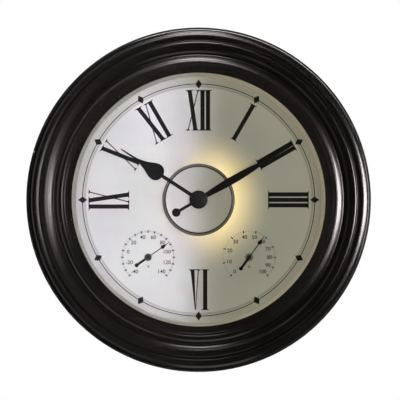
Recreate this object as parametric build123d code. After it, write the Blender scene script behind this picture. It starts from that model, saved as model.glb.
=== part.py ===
from build123d import *
import math
import os

# The clock is drawn lying on its back: x to the right, y up the dial, z out of the wall towards the viewer.
# stand_up then hangs every piece on a wall that faces -Y, with the origin at the hanging screw on the wall plane.

# Depth of each layer, from the wall outwards
outer_diameter = 457.0
rear_pocket_depth = 20.0
panel_thickness = 2.8
dial_thickness = 1.2
disc_gap = 3.2
disc_height = 5.2
hour_hand_gap = 1.6
minute_hand_gap = 2.0
hand_thickness = 0.8
cap_height = 4.2
lens_gap = 1.6
lens_thickness = 2.5
gasket_thickness = 0.6

panel_back = rear_pocket_depth
panel_front = panel_back + panel_thickness
dial_front = panel_front + dial_thickness
disc_low = dial_front + disc_gap
disc_top = disc_low + disc_height
hour_low = disc_top + hour_hand_gap
hour_high = hour_low + hand_thickness
minute_low = hour_high + minute_hand_gap
minute_high = minute_low + hand_thickness
cap_high = minute_high + cap_height
lens_back = cap_high + lens_gap
lens_front = lens_back + lens_thickness
lip_level = lens_front + gasket_thickness

# Bezel moulding, widths from the outside in
case_lip_width = 2.4
seam_gap = 0.4
outer_bead_width = 15.6
outer_step_width = 2.0
ovolo_width = 15.9
valley_width = 0.8
bead_slope_width = 7.2
bead_width = 3.8
tread_width = 3.1
ledge_width = 9.3
bead_crest_share = 0.47
bead_fall_share = 0.45

case_radius = outer_diameter / 2
bezel_radius = case_radius - case_lip_width - seam_gap
outer_bead_radius = bezel_radius - outer_bead_width
ovolo_radius = outer_bead_radius - outer_step_width
valley_outer = ovolo_radius - ovolo_width
valley_inner = valley_outer - valley_width
crest_radius = valley_inner - bead_slope_width
tread_radius = crest_radius - bead_width
ledge_radius = tread_radius - tread_width
opening_radius = ledge_radius - ledge_width

# Bezel moulding, heights from the glass outwards
nose_height = 4.4
ledge_rise = 0.6
ledge_riser_height = 2.6
riser_height = 0.8
bead_rise = 1.2
bead_shoulder_drop = 1.5
valley_drop = 4.2
ovolo_rise = 8.2
outer_step_drop = 6.0
outer_bead_rise = 4.6
outer_bead_side_drop = 3.4
seam_reveal = 2.6
skirt_height = 9.0
bezel_wall = 2.6

ledge_level = lip_level + nose_height + ledge_rise
tread_level = ledge_level + ledge_riser_height
bead_level = tread_level + riser_height
crest_level = bead_level + bead_rise
valley_level = crest_level - valley_drop
ovolo_level = valley_level + ovolo_rise
outer_step_level = ovolo_level - outer_step_drop
outer_bead_level = outer_step_level + outer_bead_rise
bead_side_level = outer_step_level - outer_bead_side_drop
case_front = bead_side_level - seam_reveal
skirt_level = bead_side_level - skirt_height

# Glass, its gasket and the white ring that holds it
lens_overlap = 6.0
lens_edge_gap = 0.6
gasket_margin = 1.0
locator_depth = 6.0
spacer_foot_inset = 3.7
spacer_top_inset = 0.3
spacer_wall = 1.8
spacer_flange = 1.6
dial_margin = 1.0

lens_radius = opening_radius + lens_overlap
locator_radius = lens_radius + lens_edge_gap
spacer_foot_radius = opening_radius - spacer_foot_inset
spacer_top_radius = opening_radius - spacer_top_inset
dial_radius = lens_radius - dial_margin

# Rear case
case_wall = 3.0
case_draft = 4.0
case_edge_chamfer = 0.9
rim_roll = 0.8
rib_height = 4.0
rib_thickness = 2.0
rib_start_radius = 48.0
rib_ring_radius = 150.0
rib_pitch_angle = 30

# Screws, with the room round them
screw_clearance = 0.35
thread_clearance = 0.05
case_screw_count = 6
case_screw_head = 3.2
case_screw_head_height = 2.2
case_screw_shank = 1.6
case_screw_length = 14.0
case_boss_radius = 4.2
small_screw_head = 2.6
small_screw_head_height = 1.8
small_screw_shank = 1.3
small_screw_length = 8.0

# Keyhole hanger, set in from the rim of the rear case
keyhole_entry_radius = 5.0
keyhole_slot_width = 5.0
keyhole_slot_length = 8.0
hanger_width = 36.0
hanger_length = 34.0
hanger_thickness = 1.2
hanger_wall_gap = 2.0
hanger_below_seat = 22.0
hanger_rim_gap = 24.5
hanger_pad_width = 9.0
hanger_corner = 3.0
hanger_screw_spread = 27.0

hanger_top = case_radius - case_draft - case_wall - hanger_rim_gap
hang_height = hanger_top - hanger_length + hanger_below_seat

# Raised disc over the lamps
disc_radius = 48.3
disc_chamfer = 3.2
disc_chamfer_width = 4.6
disc_wall = 1.8
disc_hole_radius = 5.5
disc_post_count = 3
disc_post_circle = 36.0
disc_post_radius = 3.0
disc_shoulder_radius = 4.5
disc_shoulder_height = 1.4
led_board_thickness = 1.6
led_board_outer = 43.0
led_board_inner = 16.0
led_count = 12
led_circle = 39.0
led_length = 3.5
led_width = 2.8
led_height = 1.9
fit_gap = 0.3

# Clock movement housing
movement_half_width = 28.0
movement_top = 28.0
movement_bottom = 31.0
movement_wall = 1.4
movement_corner = 4.0
movement_back_gap = 3.6
cell_diameter = 14.3
cell_length = 49.2
cell_nub_radius = 2.7
cell_nub_height = 1.2
cell_gap = 0.3
partition_gap = 0.25
contact_thickness = 0.4
contact_width = 8.0
contact_height = 9.0

# Bush, washer and nut that clamp the movement to the panel
bush_radius = 4.0
bush_flange_radius = 5.4
bush_flange_thickness = 1.0
bush_proud = 3.4
washer_radius = 8.0
washer_thickness = 0.5
nut_across_flats = 13.0
nut_thickness = 2.2

# Hand shafts
arbor_radius = 1.6
hour_tube_radius = 2.6
running_clearance = 0.08
pivot_radius = 0.7
arbor_proud = 2.0
hour_tube_proud = 0.4

# Gear train
motion_distance = 12.5
third_module = 0.36
cannon_teeth = 14
motion_teeth = 42
motion_pinion_teeth = 10
hour_teeth = 40
centre_teeth = 60
third_pinion_teeth = 10
setting_teeth = 14
wheel_thickness = 1.2
pinion_extra = 0.2
gear_gap = 0.3
wheel_hub_radius = 3.0
wheel_web_share = 0.72
wheel_window_share = 0.13
stud_radius = 1.0
third_wheel_radius = 8.0
third_arbor_radius = 0.7
third_boss_radius = 1.4
setting_shaft_radius = 1.2
setting_knob_radius = 5.0
setting_knob_height = 2.4
setting_knob_gap = 0.3
setting_grip_radius = 0.6
setting_grip_count = 16
motion_direction = 90
third_direction = 160
setting_direction = 145
tooth_thickness_share = 0.44
addendum_share = 0.85
dedendum_share = 1.2
pressure_angle = math.radians(20)

# Step motor and circuit
rotor_x = 12.0
rotor_y = 8.0
rotor_radius = 2.8
rotor_thickness = 1.8
rotor_gap = 0.4
rotor_shaft_radius = 0.5
rotor_pinion_radius = 0.9
rotor_pinion_height = 1.4
rotor_boss_radius = 1.5
stator_thickness = 1.0
stator_body_width = 8.4
stator_arm_width = 4.0
stator_reach = 16.0
stator_half_height = 17.0
stator_level_gap = 3.4
coil_x = 22.0
coil_radius = 3.4
coil_core_thickness = 1.0
coil_core_width = 3.0
coil_end_gap = 0.4
board_width = 21.0
board_height = 16.0
board_thickness = 1.0
board_left = 26.0
crystal_radius = 1.5
crystal_length = 6.0

# Hands
hour_hand_length = 123.7
minute_hand_length = 144.3
hour_hand_angle = 146.9
minute_hand_angle = 30.0
hand_hub_radius = 9.0
hand_boss_height = 1.0
hand_boss_wall = 1.8
hour_rod_width = 4.8
hour_bulb_start = 57.6
hour_bulb_width = 22.8
minute_blade_width = 10.6
needle_width = 2.3
tip_width = 1.3
tail_rod_width = 3.9
tail_ball_centre = 34.4
tail_ball_radius = 5.7
hub_cap_radius = 12.2
hub_cap_edge = 1.4
hub_cap_bore_depth = 2.2

# Gauges
gauge_x = 67.5
gauge_y = -76.6
thermometer_angle = 35.2
hygrometer_angle = 54.2
can_radius = 14.0
can_depth = 10.0
can_wall = 1.2
can_flange_radius = 16.5
can_flange_thickness = 1.2
can_collar_radius = 13.0
can_boss_radius = 2.4
can_boss_height = 2.0
gauge_arbor_radius = 0.8
gauge_shoulder_radius = 2.0
pointer_lift = 1.4
pointer_thickness = 0.4
pointer_length = 34.8
pointer_bulge_centre = 23.8
pointer_bulge_radius = 2.6
pointer_tail = 18.6
pointer_tail_ball = 2.7
pointer_rod_width = 3.2
pointer_needle_width = 1.2
pointer_disc_radius = 4.0
thermometer_hub_radius = 4.9
hygrometer_hub_radius = 2.9
hygrometer_disc_radius = 5.4
gauge_hub_height = 2.0
gauge_hub_chamfer = 0.8
coil_strip_thickness = 0.4
coil_strip_height = 3.0
coil_strip_pitch = 2.4
coil_turns = 4

# Battery box of the lamps
light_cell_count = 4
light_cell_gap = 0.8
light_contact_room = 2.0
box_top = -60.0
box_wall = 1.8
box_floor = 1.6
box_corner = 2.0
circuit_bay_height = 17.0
box_ear_radius = 4.6
box_ear_thickness = 2.0
box_ear_low_inset = 8.0
box_ear_high_inset = 34.0
door_thickness = 1.6
door_gap = 0.3
door_skirt_depth = 6.4
door_lip = 0.7
door_lip_height = 1.2
door_lip_margin = 0.25
door_grip_count = 5
door_grip_pitch = 3.0
door_grip_height = 0.6
door_grip_width = 18.0
control_board_thickness = 1.2
control_board_margin = 1.0
control_post_height = 4.0
control_post_radius = 2.0
switch_width = 13.0
switch_height = 6.0
switch_depth = 5.0
switch_window_width = 11.4
switch_window_height = 4.6
slider_width = 4.4
slider_height = 3.8
slider_proud = 1.4
slider_root = 2.0

cut_overrun = 1.0


# Small helpers
def stand_up(shape):
    return Pos(0, 0, -hang_height) * (Rot(90, 0, 0) * shape)


def cylinder(radius, low, high, x=0, y=0):
    return Pos(x, y, low) * extrude(Circle(radius), high - low)


def tube(outer, inner, low, high, x=0, y=0):
    return Pos(x, y, low) * extrude(Circle(outer) - Circle(inner), high - low)


def block(x_low, x_high, y_low, y_high, z_low, z_high):
    centre = Pos((x_low + x_high) / 2, (y_low + y_high) / 2, z_low)
    return centre * extrude(Rectangle(x_high - x_low, y_high - y_low), z_high - z_low)


def polar(radius, angle):
    return radius * math.cos(math.radians(angle)), radius * math.sin(math.radians(angle))


def spin_section(*edges):
    return revolve(make_face(Curve() + list(edges)), axis=Axis.Z)


def section_line(*points):
    return Polyline(*[(radius, 0, level) for radius, level in points])


def section_arc(*points):
    return ThreePointArc(*[(radius, 0, level) for radius, level in points])


def around(count, radius, start=0):
    return [polar(radius, start + 360 / count * index) for index in range(count)]


def screw(x, y, seat, head, head_height, shank, length):
    body = cylinder(head, seat - head_height, seat, x, y)
    return body + cylinder(shank, seat, seat + length, x, y)


def small_screw(x, y, seat):
    return screw(x, y, seat, small_screw_head, small_screw_head_height, small_screw_shank, small_screw_length)


# Bezel: one hollow-backed moulding, with screw bosses under the ovolo
def ovolo_arc():
    rise = ovolo_level - valley_level
    radius = (ovolo_width**2 + rise**2) / (2 * rise)
    half_turn = math.asin(min(1, ovolo_width / radius)) / 2
    middle = (ovolo_radius - radius * math.sin(half_turn), ovolo_level - radius * (1 - math.cos(half_turn)))
    return section_arc((valley_outer, valley_level), middle, (ovolo_radius, ovolo_level))


def bezel_front():
    shoulder = (crest_radius + bead_width, crest_level - bead_shoulder_drop)
    crest = (outer_bead_radius + outer_bead_width * bead_crest_share, outer_bead_level)
    return [
        section_line(
            (opening_radius, lip_level),
            (opening_radius, lip_level + nose_height),
            (ledge_radius, ledge_level),
            (ledge_radius, tread_level),
            (tread_radius, tread_level),
            (tread_radius, bead_level),
        ),
        section_arc((tread_radius, bead_level), (crest_radius, crest_level), shoulder),
        section_line(shoulder, (valley_inner, valley_level), (valley_outer, valley_level)),
        ovolo_arc(),
        section_line((ovolo_radius, ovolo_level), (outer_bead_radius, outer_step_level)),
        section_arc((outer_bead_radius, outer_step_level), crest, (bezel_radius, bead_side_level)),
    ]


def case_boss_places():
    return around(case_screw_count, (valley_outer + ovolo_radius) / 2, rib_pitch_angle / 2)


def make_bezel():
    under_bead = outer_step_level - bezel_wall
    back = section_line(
        (bezel_radius, bead_side_level),
        (bezel_radius, skirt_level),
        (bezel_radius - bezel_wall, skirt_level),
        (bezel_radius - bezel_wall, bead_side_level - outer_bead_side_drop * bead_fall_share),
        (outer_bead_radius - bezel_wall, under_bead),
        (ovolo_radius - bezel_wall, ovolo_level - bezel_wall * 2),
        (valley_outer, valley_level - bezel_wall),
        (crest_radius, crest_level - bezel_wall * 2),
        (locator_radius + bezel_wall, lip_level + bezel_wall),
        (locator_radius + bezel_wall, lens_back - locator_depth),
        (locator_radius, lens_back - locator_depth),
        (locator_radius, lip_level),
        (opening_radius, lip_level),
    )
    ring = spin_section(*bezel_front(), back)
    under_ovolo = section_line(
        (ovolo_radius, ovolo_level),
        (ovolo_radius, panel_front),
        (valley_outer, panel_front),
        (valley_outer, valley_level),
    )
    envelope = spin_section(ovolo_arc(), under_ovolo)
    for x, y in case_boss_places():
        ring = ring + (cylinder(case_boss_radius, panel_front, ovolo_level, x, y) & envelope)
    for x, y in case_boss_places():
        pilot = case_screw_shank + thread_clearance
        ring = ring - cylinder(pilot, panel_front, panel_front + case_screw_length, x, y)
    return ring


def make_lens():
    return cylinder(lens_radius, lens_back, lens_front)


def make_lens_gasket():
    return tube(lens_radius, opening_radius + gasket_margin, lens_front, lip_level)


def make_spacer_ring():
    return spin_section(
        section_line(
            (spacer_foot_radius, dial_front),
            (dial_radius, dial_front),
            (dial_radius, dial_front + spacer_flange),
            (spacer_foot_radius + spacer_wall * 2, dial_front + spacer_flange),
            (spacer_top_radius + spacer_wall, lens_back - spacer_flange),
            (lens_radius, lens_back - spacer_flange),
            (lens_radius, lens_back),
            (spacer_top_radius, lens_back),
            (spacer_foot_radius, dial_front),
        )
    )


# Dial: a plain plate here, with holes for the bush, the disc's posts and the gauge arbors
def make_dial_plate():
    plate = cylinder(dial_radius, panel_front, dial_front)
    plate = plate - cylinder(bush_radius + screw_clearance, panel_front, dial_front)
    for x, y in around(disc_post_count, disc_post_circle, motion_direction):
        plate = plate - cylinder(disc_post_radius + screw_clearance, panel_front, dial_front, x, y)
    for side in (-1, 1):
        hole = gauge_arbor_radius + running_clearance
        plate = plate - cylinder(hole, panel_front, dial_front, side * gauge_x, gauge_y)
    return plate


# Rear case: skirt, panel, ribs and hanger pads in one moulding
def case_radius_at(level):
    return case_radius - case_draft * (1 - level / case_front)


def make_rear_case():
    inner_front = bezel_radius - bezel_wall
    shell = spin_section(
        section_line(
            (0, panel_back),
            (case_radius_at(panel_back) - case_wall, panel_back),
            (case_radius_at(rim_roll) - case_wall, rim_roll),
            (case_radius_at(0) - case_wall + rim_roll / 2, 0),
            (case_radius_at(0) - rim_roll, 0),
            (case_radius_at(rim_roll), rim_roll),
            (case_radius, case_front - case_edge_chamfer),
            (case_radius - case_edge_chamfer, case_front),
            (bezel_radius + seam_gap, case_front),
            (bezel_radius + seam_gap, skirt_level),
            (inner_front, skirt_level),
            (inner_front, panel_front),
            (0, panel_front),
            (0, panel_back),
        )
    )
    rib_low = panel_back - rib_height
    rib_end = case_radius_at(rib_low) - case_wall / 2
    webs = tube(rib_ring_radius + rib_thickness / 2, rib_ring_radius - rib_thickness / 2, rib_low, panel_back)
    webs = webs + tube(rib_start_radius + rib_thickness, rib_start_radius, rib_low, panel_back)
    for index in range(int(360 / rib_pitch_angle)):
        angle = rib_pitch_angle * index
        start = rib_ring_radius if angle == 270 else rib_start_radius
        end = rib_ring_radius if angle == 90 else rib_end
        rib = block(start, end, -rib_thickness / 2, rib_thickness / 2, rib_low, panel_back)
        webs = webs + Rot(0, 0, angle) * rib
    pocket_x = hanger_width / 2 - hanger_pad_width
    for side in (-1, 1):
        pad_x = side * (pocket_x + hanger_pad_width / 2)
        half = hanger_pad_width / 2
        low, high = hang_height - hanger_below_seat, hang_height - hanger_below_seat + hanger_length
        webs = webs + block(pad_x - half, pad_x + half, low, high, hanger_wall_gap + hanger_thickness, panel_back)
    case = shell + webs
    holes = [(x, y, case_screw_shank + screw_clearance) for x, y in case_boss_places()]
    posts = around(disc_post_count, disc_post_circle, motion_direction)
    holes += [(x, y, small_screw_shank + screw_clearance) for x, y in posts]
    holes += [(side * gauge_x, gauge_y, can_collar_radius + screw_clearance) for side in (-1, 1)]
    holes += [(0, 0, bush_radius + screw_clearance)]
    for x, y, radius in holes:
        case = case - cylinder(radius, panel_back - cut_overrun, panel_front + cut_overrun, x, y)
    for x, y in hanger_screw_places():
        depth = hanger_wall_gap + hanger_thickness + small_screw_length
        case = case - cylinder(small_screw_shank + thread_clearance, 0, depth, x, y)
    for x, y in light_box_ears():
        blind = small_screw_shank + thread_clearance
        case = case - cylinder(blind, panel_back - cut_overrun, panel_front, x, y)
    return case


def make_case_screws():
    return [
        screw(x, y, panel_back, case_screw_head, case_screw_head_height, case_screw_shank, case_screw_length)
        for x, y in case_boss_places()
    ]


# Hanger: a steel plate with a keyhole, standing off the panel on two pads
def hanger_screw_places():
    middle = hang_height - hanger_below_seat + hanger_length / 2
    return [(side * hanger_screw_spread / 2, middle) for side in (-1, 1)]


def make_hanger_plate():
    low = hanger_wall_gap
    middle = hang_height - hanger_below_seat + hanger_length / 2
    entry = hang_height - keyhole_slot_length
    plate = RectangleRounded(hanger_width, hanger_length, hanger_corner)
    outline = Pos(0, middle) * plate - Pos(0, entry) * Circle(keyhole_entry_radius)
    slot = Pos(0, entry + keyhole_slot_length / 2) * Rectangle(keyhole_slot_width, keyhole_slot_length)
    outline = outline - slot - Pos(0, hang_height) * Circle(keyhole_slot_width / 2)
    for x, y in hanger_screw_places():
        outline = outline - Pos(x, y) * Circle(small_screw_shank + screw_clearance)
    return Pos(0, 0, low) * extrude(outline, hanger_thickness)


def make_hanger_screws():
    head_height = hanger_wall_gap - fit_gap
    return [
        screw(x, y, hanger_wall_gap, small_screw_head, head_height, small_screw_shank, small_screw_length)
        for x, y in hanger_screw_places()
    ]


# Raised disc, lamp board and lamps
def disc_posts():
    return around(disc_post_count, disc_post_circle, motion_direction)


def board_level():
    return disc_top - disc_wall - disc_shoulder_height


def make_disc_cap():
    cap = spin_section(
        section_line(
            (disc_hole_radius, disc_top),
            (disc_hole_radius, disc_top - disc_wall),
            (disc_radius - disc_chamfer_width, disc_top - disc_wall),
            (disc_radius - disc_wall, disc_top - disc_chamfer - disc_wall / 2),
            (disc_radius - disc_wall, disc_low),
            (disc_radius, disc_low),
            (disc_radius, disc_top - disc_chamfer),
            (disc_radius - disc_chamfer_width, disc_top),
            (disc_hole_radius, disc_top),
        )
    )
    for x, y in disc_posts():
        cap = cap + cylinder(disc_shoulder_radius, board_level(), disc_top - disc_wall, x, y)
        cap = cap + cylinder(disc_post_radius, panel_front, disc_top - disc_wall, x, y)
    for x, y in disc_posts():
        bore = small_screw_shank + thread_clearance
        cap = cap - cylinder(bore, panel_front, panel_front + small_screw_length - panel_thickness, x, y)
    return cap


def make_led_board():
    board = Circle(led_board_outer) - Circle(led_board_inner)
    for x, y in disc_posts():
        board = board - Pos(x, y) * Circle(disc_post_radius + screw_clearance)
    return Pos(0, 0, board_level() - led_board_thickness) * extrude(board, led_board_thickness)


def make_leds():
    high = board_level() - led_board_thickness
    lamps = []
    for index in range(led_count):
        angle = 360 / led_count * (index + 1 / 2)
        lamp = block(
            led_circle - led_width / 2,
            led_circle + led_width / 2,
            -led_length / 2,
            led_length / 2,
            high - led_height,
            high,
        )
        lamps.append(Rot(0, 0, angle) * lamp)
    return lamps


def make_disc_screws():
    return [small_screw(x, y, panel_back) for x, y in disc_posts()]


# Gear teeth: straight chords of an involute tooth, a little thin for backlash
def involute(angle):
    return math.tan(angle) - angle


def tooth_half_angle(teeth, module, radius):
    pitch_radius = teeth * module / 2
    base_radius = pitch_radius * math.cos(pressure_angle)
    roll = math.acos(base_radius / max(radius, base_radius))
    return tooth_thickness_share * math.pi / teeth + involute(pressure_angle) - involute(roll)


def gear_face(teeth, module, phase, flank_shares):
    pitch_radius = teeth * module / 2
    radii = [pitch_radius + share * module for share in flank_shares]
    points = []
    for index in range(teeth):
        middle = math.radians(phase) + 2 * math.pi * index / teeth
        for side, steps in ((-1, radii), (1, radii[::-1])):
            for radius in steps:
                angle = middle + side * tooth_half_angle(teeth, module, radius)
                points.append((radius * math.cos(angle), radius * math.sin(angle)))
    return make_face(Polyline(*points, close=True))


def wheel_face(teeth, module, phase):
    return gear_face(teeth, module, phase, (-dedendum_share, addendum_share))


def pinion_face(teeth, module, phase):
    return gear_face(teeth, module, phase, (-dedendum_share, 0, addendum_share))


def mesh_phase(driver_phase, driver_teeth, direction, teeth):
    offset_share = (driver_phase - direction) / (360 / driver_teeth)
    return direction + 180 - offset_share * 360 / teeth + 180 / teeth


def pierced(face, radius, count):
    holes = around(count, radius * wheel_web_share / 1.25, 45)
    for x, y in holes:
        face = face - Pos(x, y) * Circle(radius * wheel_window_share)
    return face


def lift(face, low, high, x=0, y=0):
    return Pos(x, y, low) * extrude(face, high - low)


# Levels of the train, from the inside of the movement's front wall backwards
front_inside = panel_back - movement_wall
hour_wheel_high = front_inside - bush_flange_thickness - gear_gap
hour_wheel_low = hour_wheel_high - wheel_thickness
motion_wheel_high = hour_wheel_low - pinion_extra
motion_wheel_low = motion_wheel_high - wheel_thickness
cannon_high = hour_wheel_low - gear_gap
cannon_low = motion_wheel_low - pinion_extra
centre_wheel_high = cannon_low - gear_gap
centre_wheel_low = centre_wheel_high - wheel_thickness
third_wheel_high = centre_wheel_low - gear_gap - pinion_extra - wheel_thickness / 2
third_wheel_low = third_wheel_high - wheel_thickness
cover_front = movement_back_gap + movement_wall

cannon_module = 2 * motion_distance / (cannon_teeth + motion_teeth)
hour_module = 2 * motion_distance / (motion_pinion_teeth + hour_teeth)
third_distance = third_module * (third_pinion_teeth + centre_teeth) / 2
motion_x, motion_y = polar(motion_distance, motion_direction)
third_x, third_y = polar(third_distance, third_direction)
setting_distance = cannon_module * (setting_teeth + motion_teeth) / 2
setting_dx, setting_dy = polar(setting_distance, setting_direction)
setting_x, setting_y = motion_x + setting_dx, motion_y + setting_dy

cannon_phase = motion_direction
motion_phase = mesh_phase(cannon_phase, cannon_teeth, motion_direction, motion_teeth)
motion_pinion_phase = motion_direction + 180
hour_phase = mesh_phase(motion_pinion_phase, motion_pinion_teeth, motion_direction + 180, hour_teeth)
third_phase = mesh_phase(0, centre_teeth, third_direction, third_pinion_teeth)
setting_phase = mesh_phase(motion_phase, motion_teeth, setting_direction, setting_teeth)


def make_hour_wheel():
    wheel = pierced(wheel_face(hour_teeth, hour_module, hour_phase), hour_teeth * hour_module / 2, 4)
    bore = arbor_radius + running_clearance
    body = lift(wheel, hour_wheel_low, hour_wheel_high)
    body = body + cylinder(hour_tube_radius, hour_wheel_low, hour_high + hour_tube_proud)
    return body - cylinder(bore, hour_wheel_low, hour_high + hour_tube_proud)


def make_motion_wheel():
    radius = motion_teeth * cannon_module / 2
    wheel = pierced(wheel_face(motion_teeth, cannon_module, motion_phase), radius, 4)
    pinion = pinion_face(motion_pinion_teeth, hour_module, motion_pinion_phase)
    body = lift(wheel, motion_wheel_low, motion_wheel_high)
    body = body + lift(pinion, motion_wheel_high, hour_wheel_high)
    body = Pos(motion_x, motion_y) * body
    bore = stud_radius + running_clearance
    return body - cylinder(bore, motion_wheel_low, hour_wheel_high, motion_x, motion_y)


def make_minute_arbor():
    body = cylinder(arbor_radius, cover_front + gear_gap, minute_high + arbor_proud)
    body = body + cylinder(pivot_radius, movement_back_gap, cover_front + gear_gap)
    return body + lift(pinion_face(cannon_teeth, cannon_module, cannon_phase), cannon_low, cannon_high)


def make_centre_wheel():
    radius = centre_teeth * third_module / 2
    wheel = pierced(wheel_face(centre_teeth, third_module, 0), radius, 5)
    body = lift(wheel, centre_wheel_low, centre_wheel_high)
    body = body + cylinder(wheel_hub_radius, centre_wheel_low - wheel_thickness, centre_wheel_low)
    return body - cylinder(arbor_radius, centre_wheel_low - wheel_thickness, centre_wheel_high)


def make_third_wheel():
    pinion = pinion_face(third_pinion_teeth, third_module, third_phase)
    body = cylinder(third_arbor_radius, movement_back_gap, front_inside - third_boss_radius)
    body = body + lift(pinion, third_wheel_high, centre_wheel_high + pinion_extra)
    rim = pierced(Circle(third_wheel_radius), third_wheel_radius, 4)
    return Pos(third_x, third_y) * (body + lift(rim, third_wheel_low, third_wheel_high))


def make_setting_shaft():
    pinion = pinion_face(setting_teeth, cannon_module, setting_phase)
    body = cylinder(setting_shaft_radius, movement_back_gap - setting_knob_gap - setting_knob_height, cannon_high)
    body = body + lift(pinion, cannon_low, motion_wheel_high)
    body = body + cylinder(pivot_radius, cannon_high, panel_back - movement_wall / 2)
    return Pos(setting_x, setting_y) * body


def make_setting_knob():
    high = movement_back_gap - setting_knob_gap
    outline = Circle(setting_knob_radius) - Circle(setting_shaft_radius)
    for x, y in around(setting_grip_count, setting_knob_radius):
        outline = outline - Pos(x, y) * Rot(0, 0, 45) * Rectangle(setting_grip_radius, setting_grip_radius)
    return lift(outline, high - setting_knob_height, high, setting_x, setting_y)


# Movement housing: a tray with a gear room and a cell bay, and a cover over the gear room
partition_high = -movement_bottom + 2 * movement_wall + cell_diameter + 2 * partition_gap


def movement_tray_outline():
    height = movement_top + movement_bottom
    return Pos(0, movement_top - height / 2) * RectangleRounded(2 * movement_half_width, height, movement_corner)


def make_movement_base():
    inside = movement_half_width - movement_wall
    tray = lift(movement_tray_outline(), cover_front, panel_back)
    gear_room = block(-inside, inside, partition_high, movement_top - movement_wall, cover_front, front_inside)
    bay_low, bay_high = -movement_bottom + movement_wall, partition_high - movement_wall
    tray = tray - gear_room - block(-inside, inside, bay_low, bay_high, cover_front, front_inside)
    tray = tray - cylinder(bush_radius, front_inside, panel_back)
    tray = tray + cylinder(stud_radius, cannon_low, front_inside, motion_x, motion_y)
    boss_low = front_inside - 2 * third_boss_radius
    tray = tray + cylinder(third_boss_radius, boss_low, front_inside, third_x, third_y)
    hole = third_arbor_radius + running_clearance
    tray = tray - cylinder(hole, boss_low, front_inside - third_boss_radius + gear_gap, third_x, third_y)
    post_low = rotor_top() + gear_gap
    tray = tray + cylinder(rotor_boss_radius, post_low, front_inside, rotor_x, rotor_y)
    hole = rotor_shaft_radius + running_clearance
    tray = tray - cylinder(hole, post_low, post_low + 2 * rotor_boss_radius, rotor_x, rotor_y)
    hole = pivot_radius + running_clearance
    return tray - cylinder(hole, front_inside, panel_back - movement_wall / 3, setting_x, setting_y)


def make_movement_cover():
    low = partition_high - movement_wall
    room = block(-movement_half_width, movement_half_width, low, movement_top, movement_back_gap, cover_front)
    cover = room & lift(movement_tray_outline(), movement_back_gap, cover_front)
    bearings = [
        (0, 0, pivot_radius),
        (third_x, third_y, third_arbor_radius),
        (setting_x, setting_y, setting_shaft_radius),
        (rotor_x, rotor_y, rotor_shaft_radius),
    ]
    for x, y, radius in bearings:
        cover = cover - cylinder(radius + running_clearance, movement_back_gap, cover_front, x, y)
    return cover


def make_threaded_bush():
    high = dial_front + bush_proud
    bore = hour_tube_radius + running_clearance
    body = cylinder(bush_radius, front_inside, high)
    body = body + cylinder(bush_flange_radius, front_inside - bush_flange_thickness, front_inside)
    return body - cylinder(bore, front_inside - bush_flange_thickness, high)


def make_washer():
    return tube(washer_radius, bush_radius + thread_clearance, dial_front, dial_front + washer_thickness)


def make_hex_nut():
    outline = RegularPolygon(nut_across_flats / 2, 6, major_radius=False)
    outline = outline - Circle(bush_radius + thread_clearance)
    low = dial_front + washer_thickness
    return lift(outline, low, low + nut_thickness)


# Step motor: magnet rotor between the poles of a C-shaped stator, with the coil across its arms
def stator_low():
    return cover_front + stator_level_gap


def rotor_top():
    return stator_low() + rotor_thickness + rotor_gap + rotor_pinion_height


def make_rotor():
    low = stator_low() - (rotor_thickness - stator_thickness) / 2
    magnet_high = low + rotor_thickness
    body = cylinder(rotor_radius, low, magnet_high)
    body = body + cylinder(rotor_pinion_radius, magnet_high, magnet_high + rotor_pinion_height)
    body = body + cylinder(rotor_shaft_radius, movement_back_gap, rotor_top() + gear_gap + rotor_boss_radius)
    return Pos(rotor_x, rotor_y) * body


def stator_ends():
    return rotor_y - stator_half_height, rotor_y + stator_half_height


def make_stator():
    left = rotor_x - stator_body_width / 2
    low, high = stator_ends()
    plate = block(left, left + stator_reach, low, high, stator_low(), stator_low() + stator_thickness)
    window = block(
        left + stator_body_width,
        left + stator_reach + cut_overrun,
        low + stator_arm_width,
        high - stator_arm_width,
        stator_low(),
        stator_low() + stator_thickness,
    )
    hole = cylinder(rotor_radius + rotor_gap, stator_low(), stator_low() + stator_thickness, rotor_x, rotor_y)
    return plate - window - hole


def make_coil_core():
    low, high = stator_ends()
    level = stator_low() + stator_thickness
    half = coil_core_width / 2
    return block(coil_x - half, coil_x + half, low, high, level, level + coil_core_thickness)


def make_coil():
    low, high = stator_ends()
    length = high - low - 2 * (stator_arm_width + coil_end_gap)
    level = stator_low() + stator_thickness + coil_core_thickness / 2
    winding = Pos(coil_x, rotor_y, level) * Rot(90, 0, 0) * extrude(Circle(coil_radius), length / 2, both=True)
    return winding - make_coil_core()


def make_circuit_board():
    high = movement_top - movement_wall - fit_gap
    level = cover_front
    left = -board_left
    return block(left, left + board_width, high - board_height, high, level, level + board_thickness) - cylinder(
        setting_shaft_radius + gear_gap, level, level + board_thickness, setting_x, setting_y
    )


def make_quartz_crystal():
    level = cover_front + board_thickness + crystal_radius
    high = movement_top - movement_wall - fit_gap
    x = -board_left + board_width - 2 * crystal_radius
    return Pos(x, high - board_height / 2, level) * Rot(90, 0, 0) * extrude(Circle(crystal_radius), crystal_length)


def cell_solid(x, y, z, angle):
    body = extrude(Circle(cell_diameter / 2), cell_length)
    body = body + Pos(0, 0, cell_length) * extrude(Circle(cell_nub_radius), cell_nub_height)
    body = Pos(0, 0, -(cell_length + cell_nub_height) / 2) * body
    return Pos(x, y, z) * Rot(0, 0, angle) * Rot(90, 0, 0) * body


def make_clock_cell():
    middle = -movement_bottom + movement_wall + partition_gap + cell_diameter / 2
    return cell_solid(0, middle, front_inside - cell_gap - cell_diameter / 2, 90)


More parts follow.
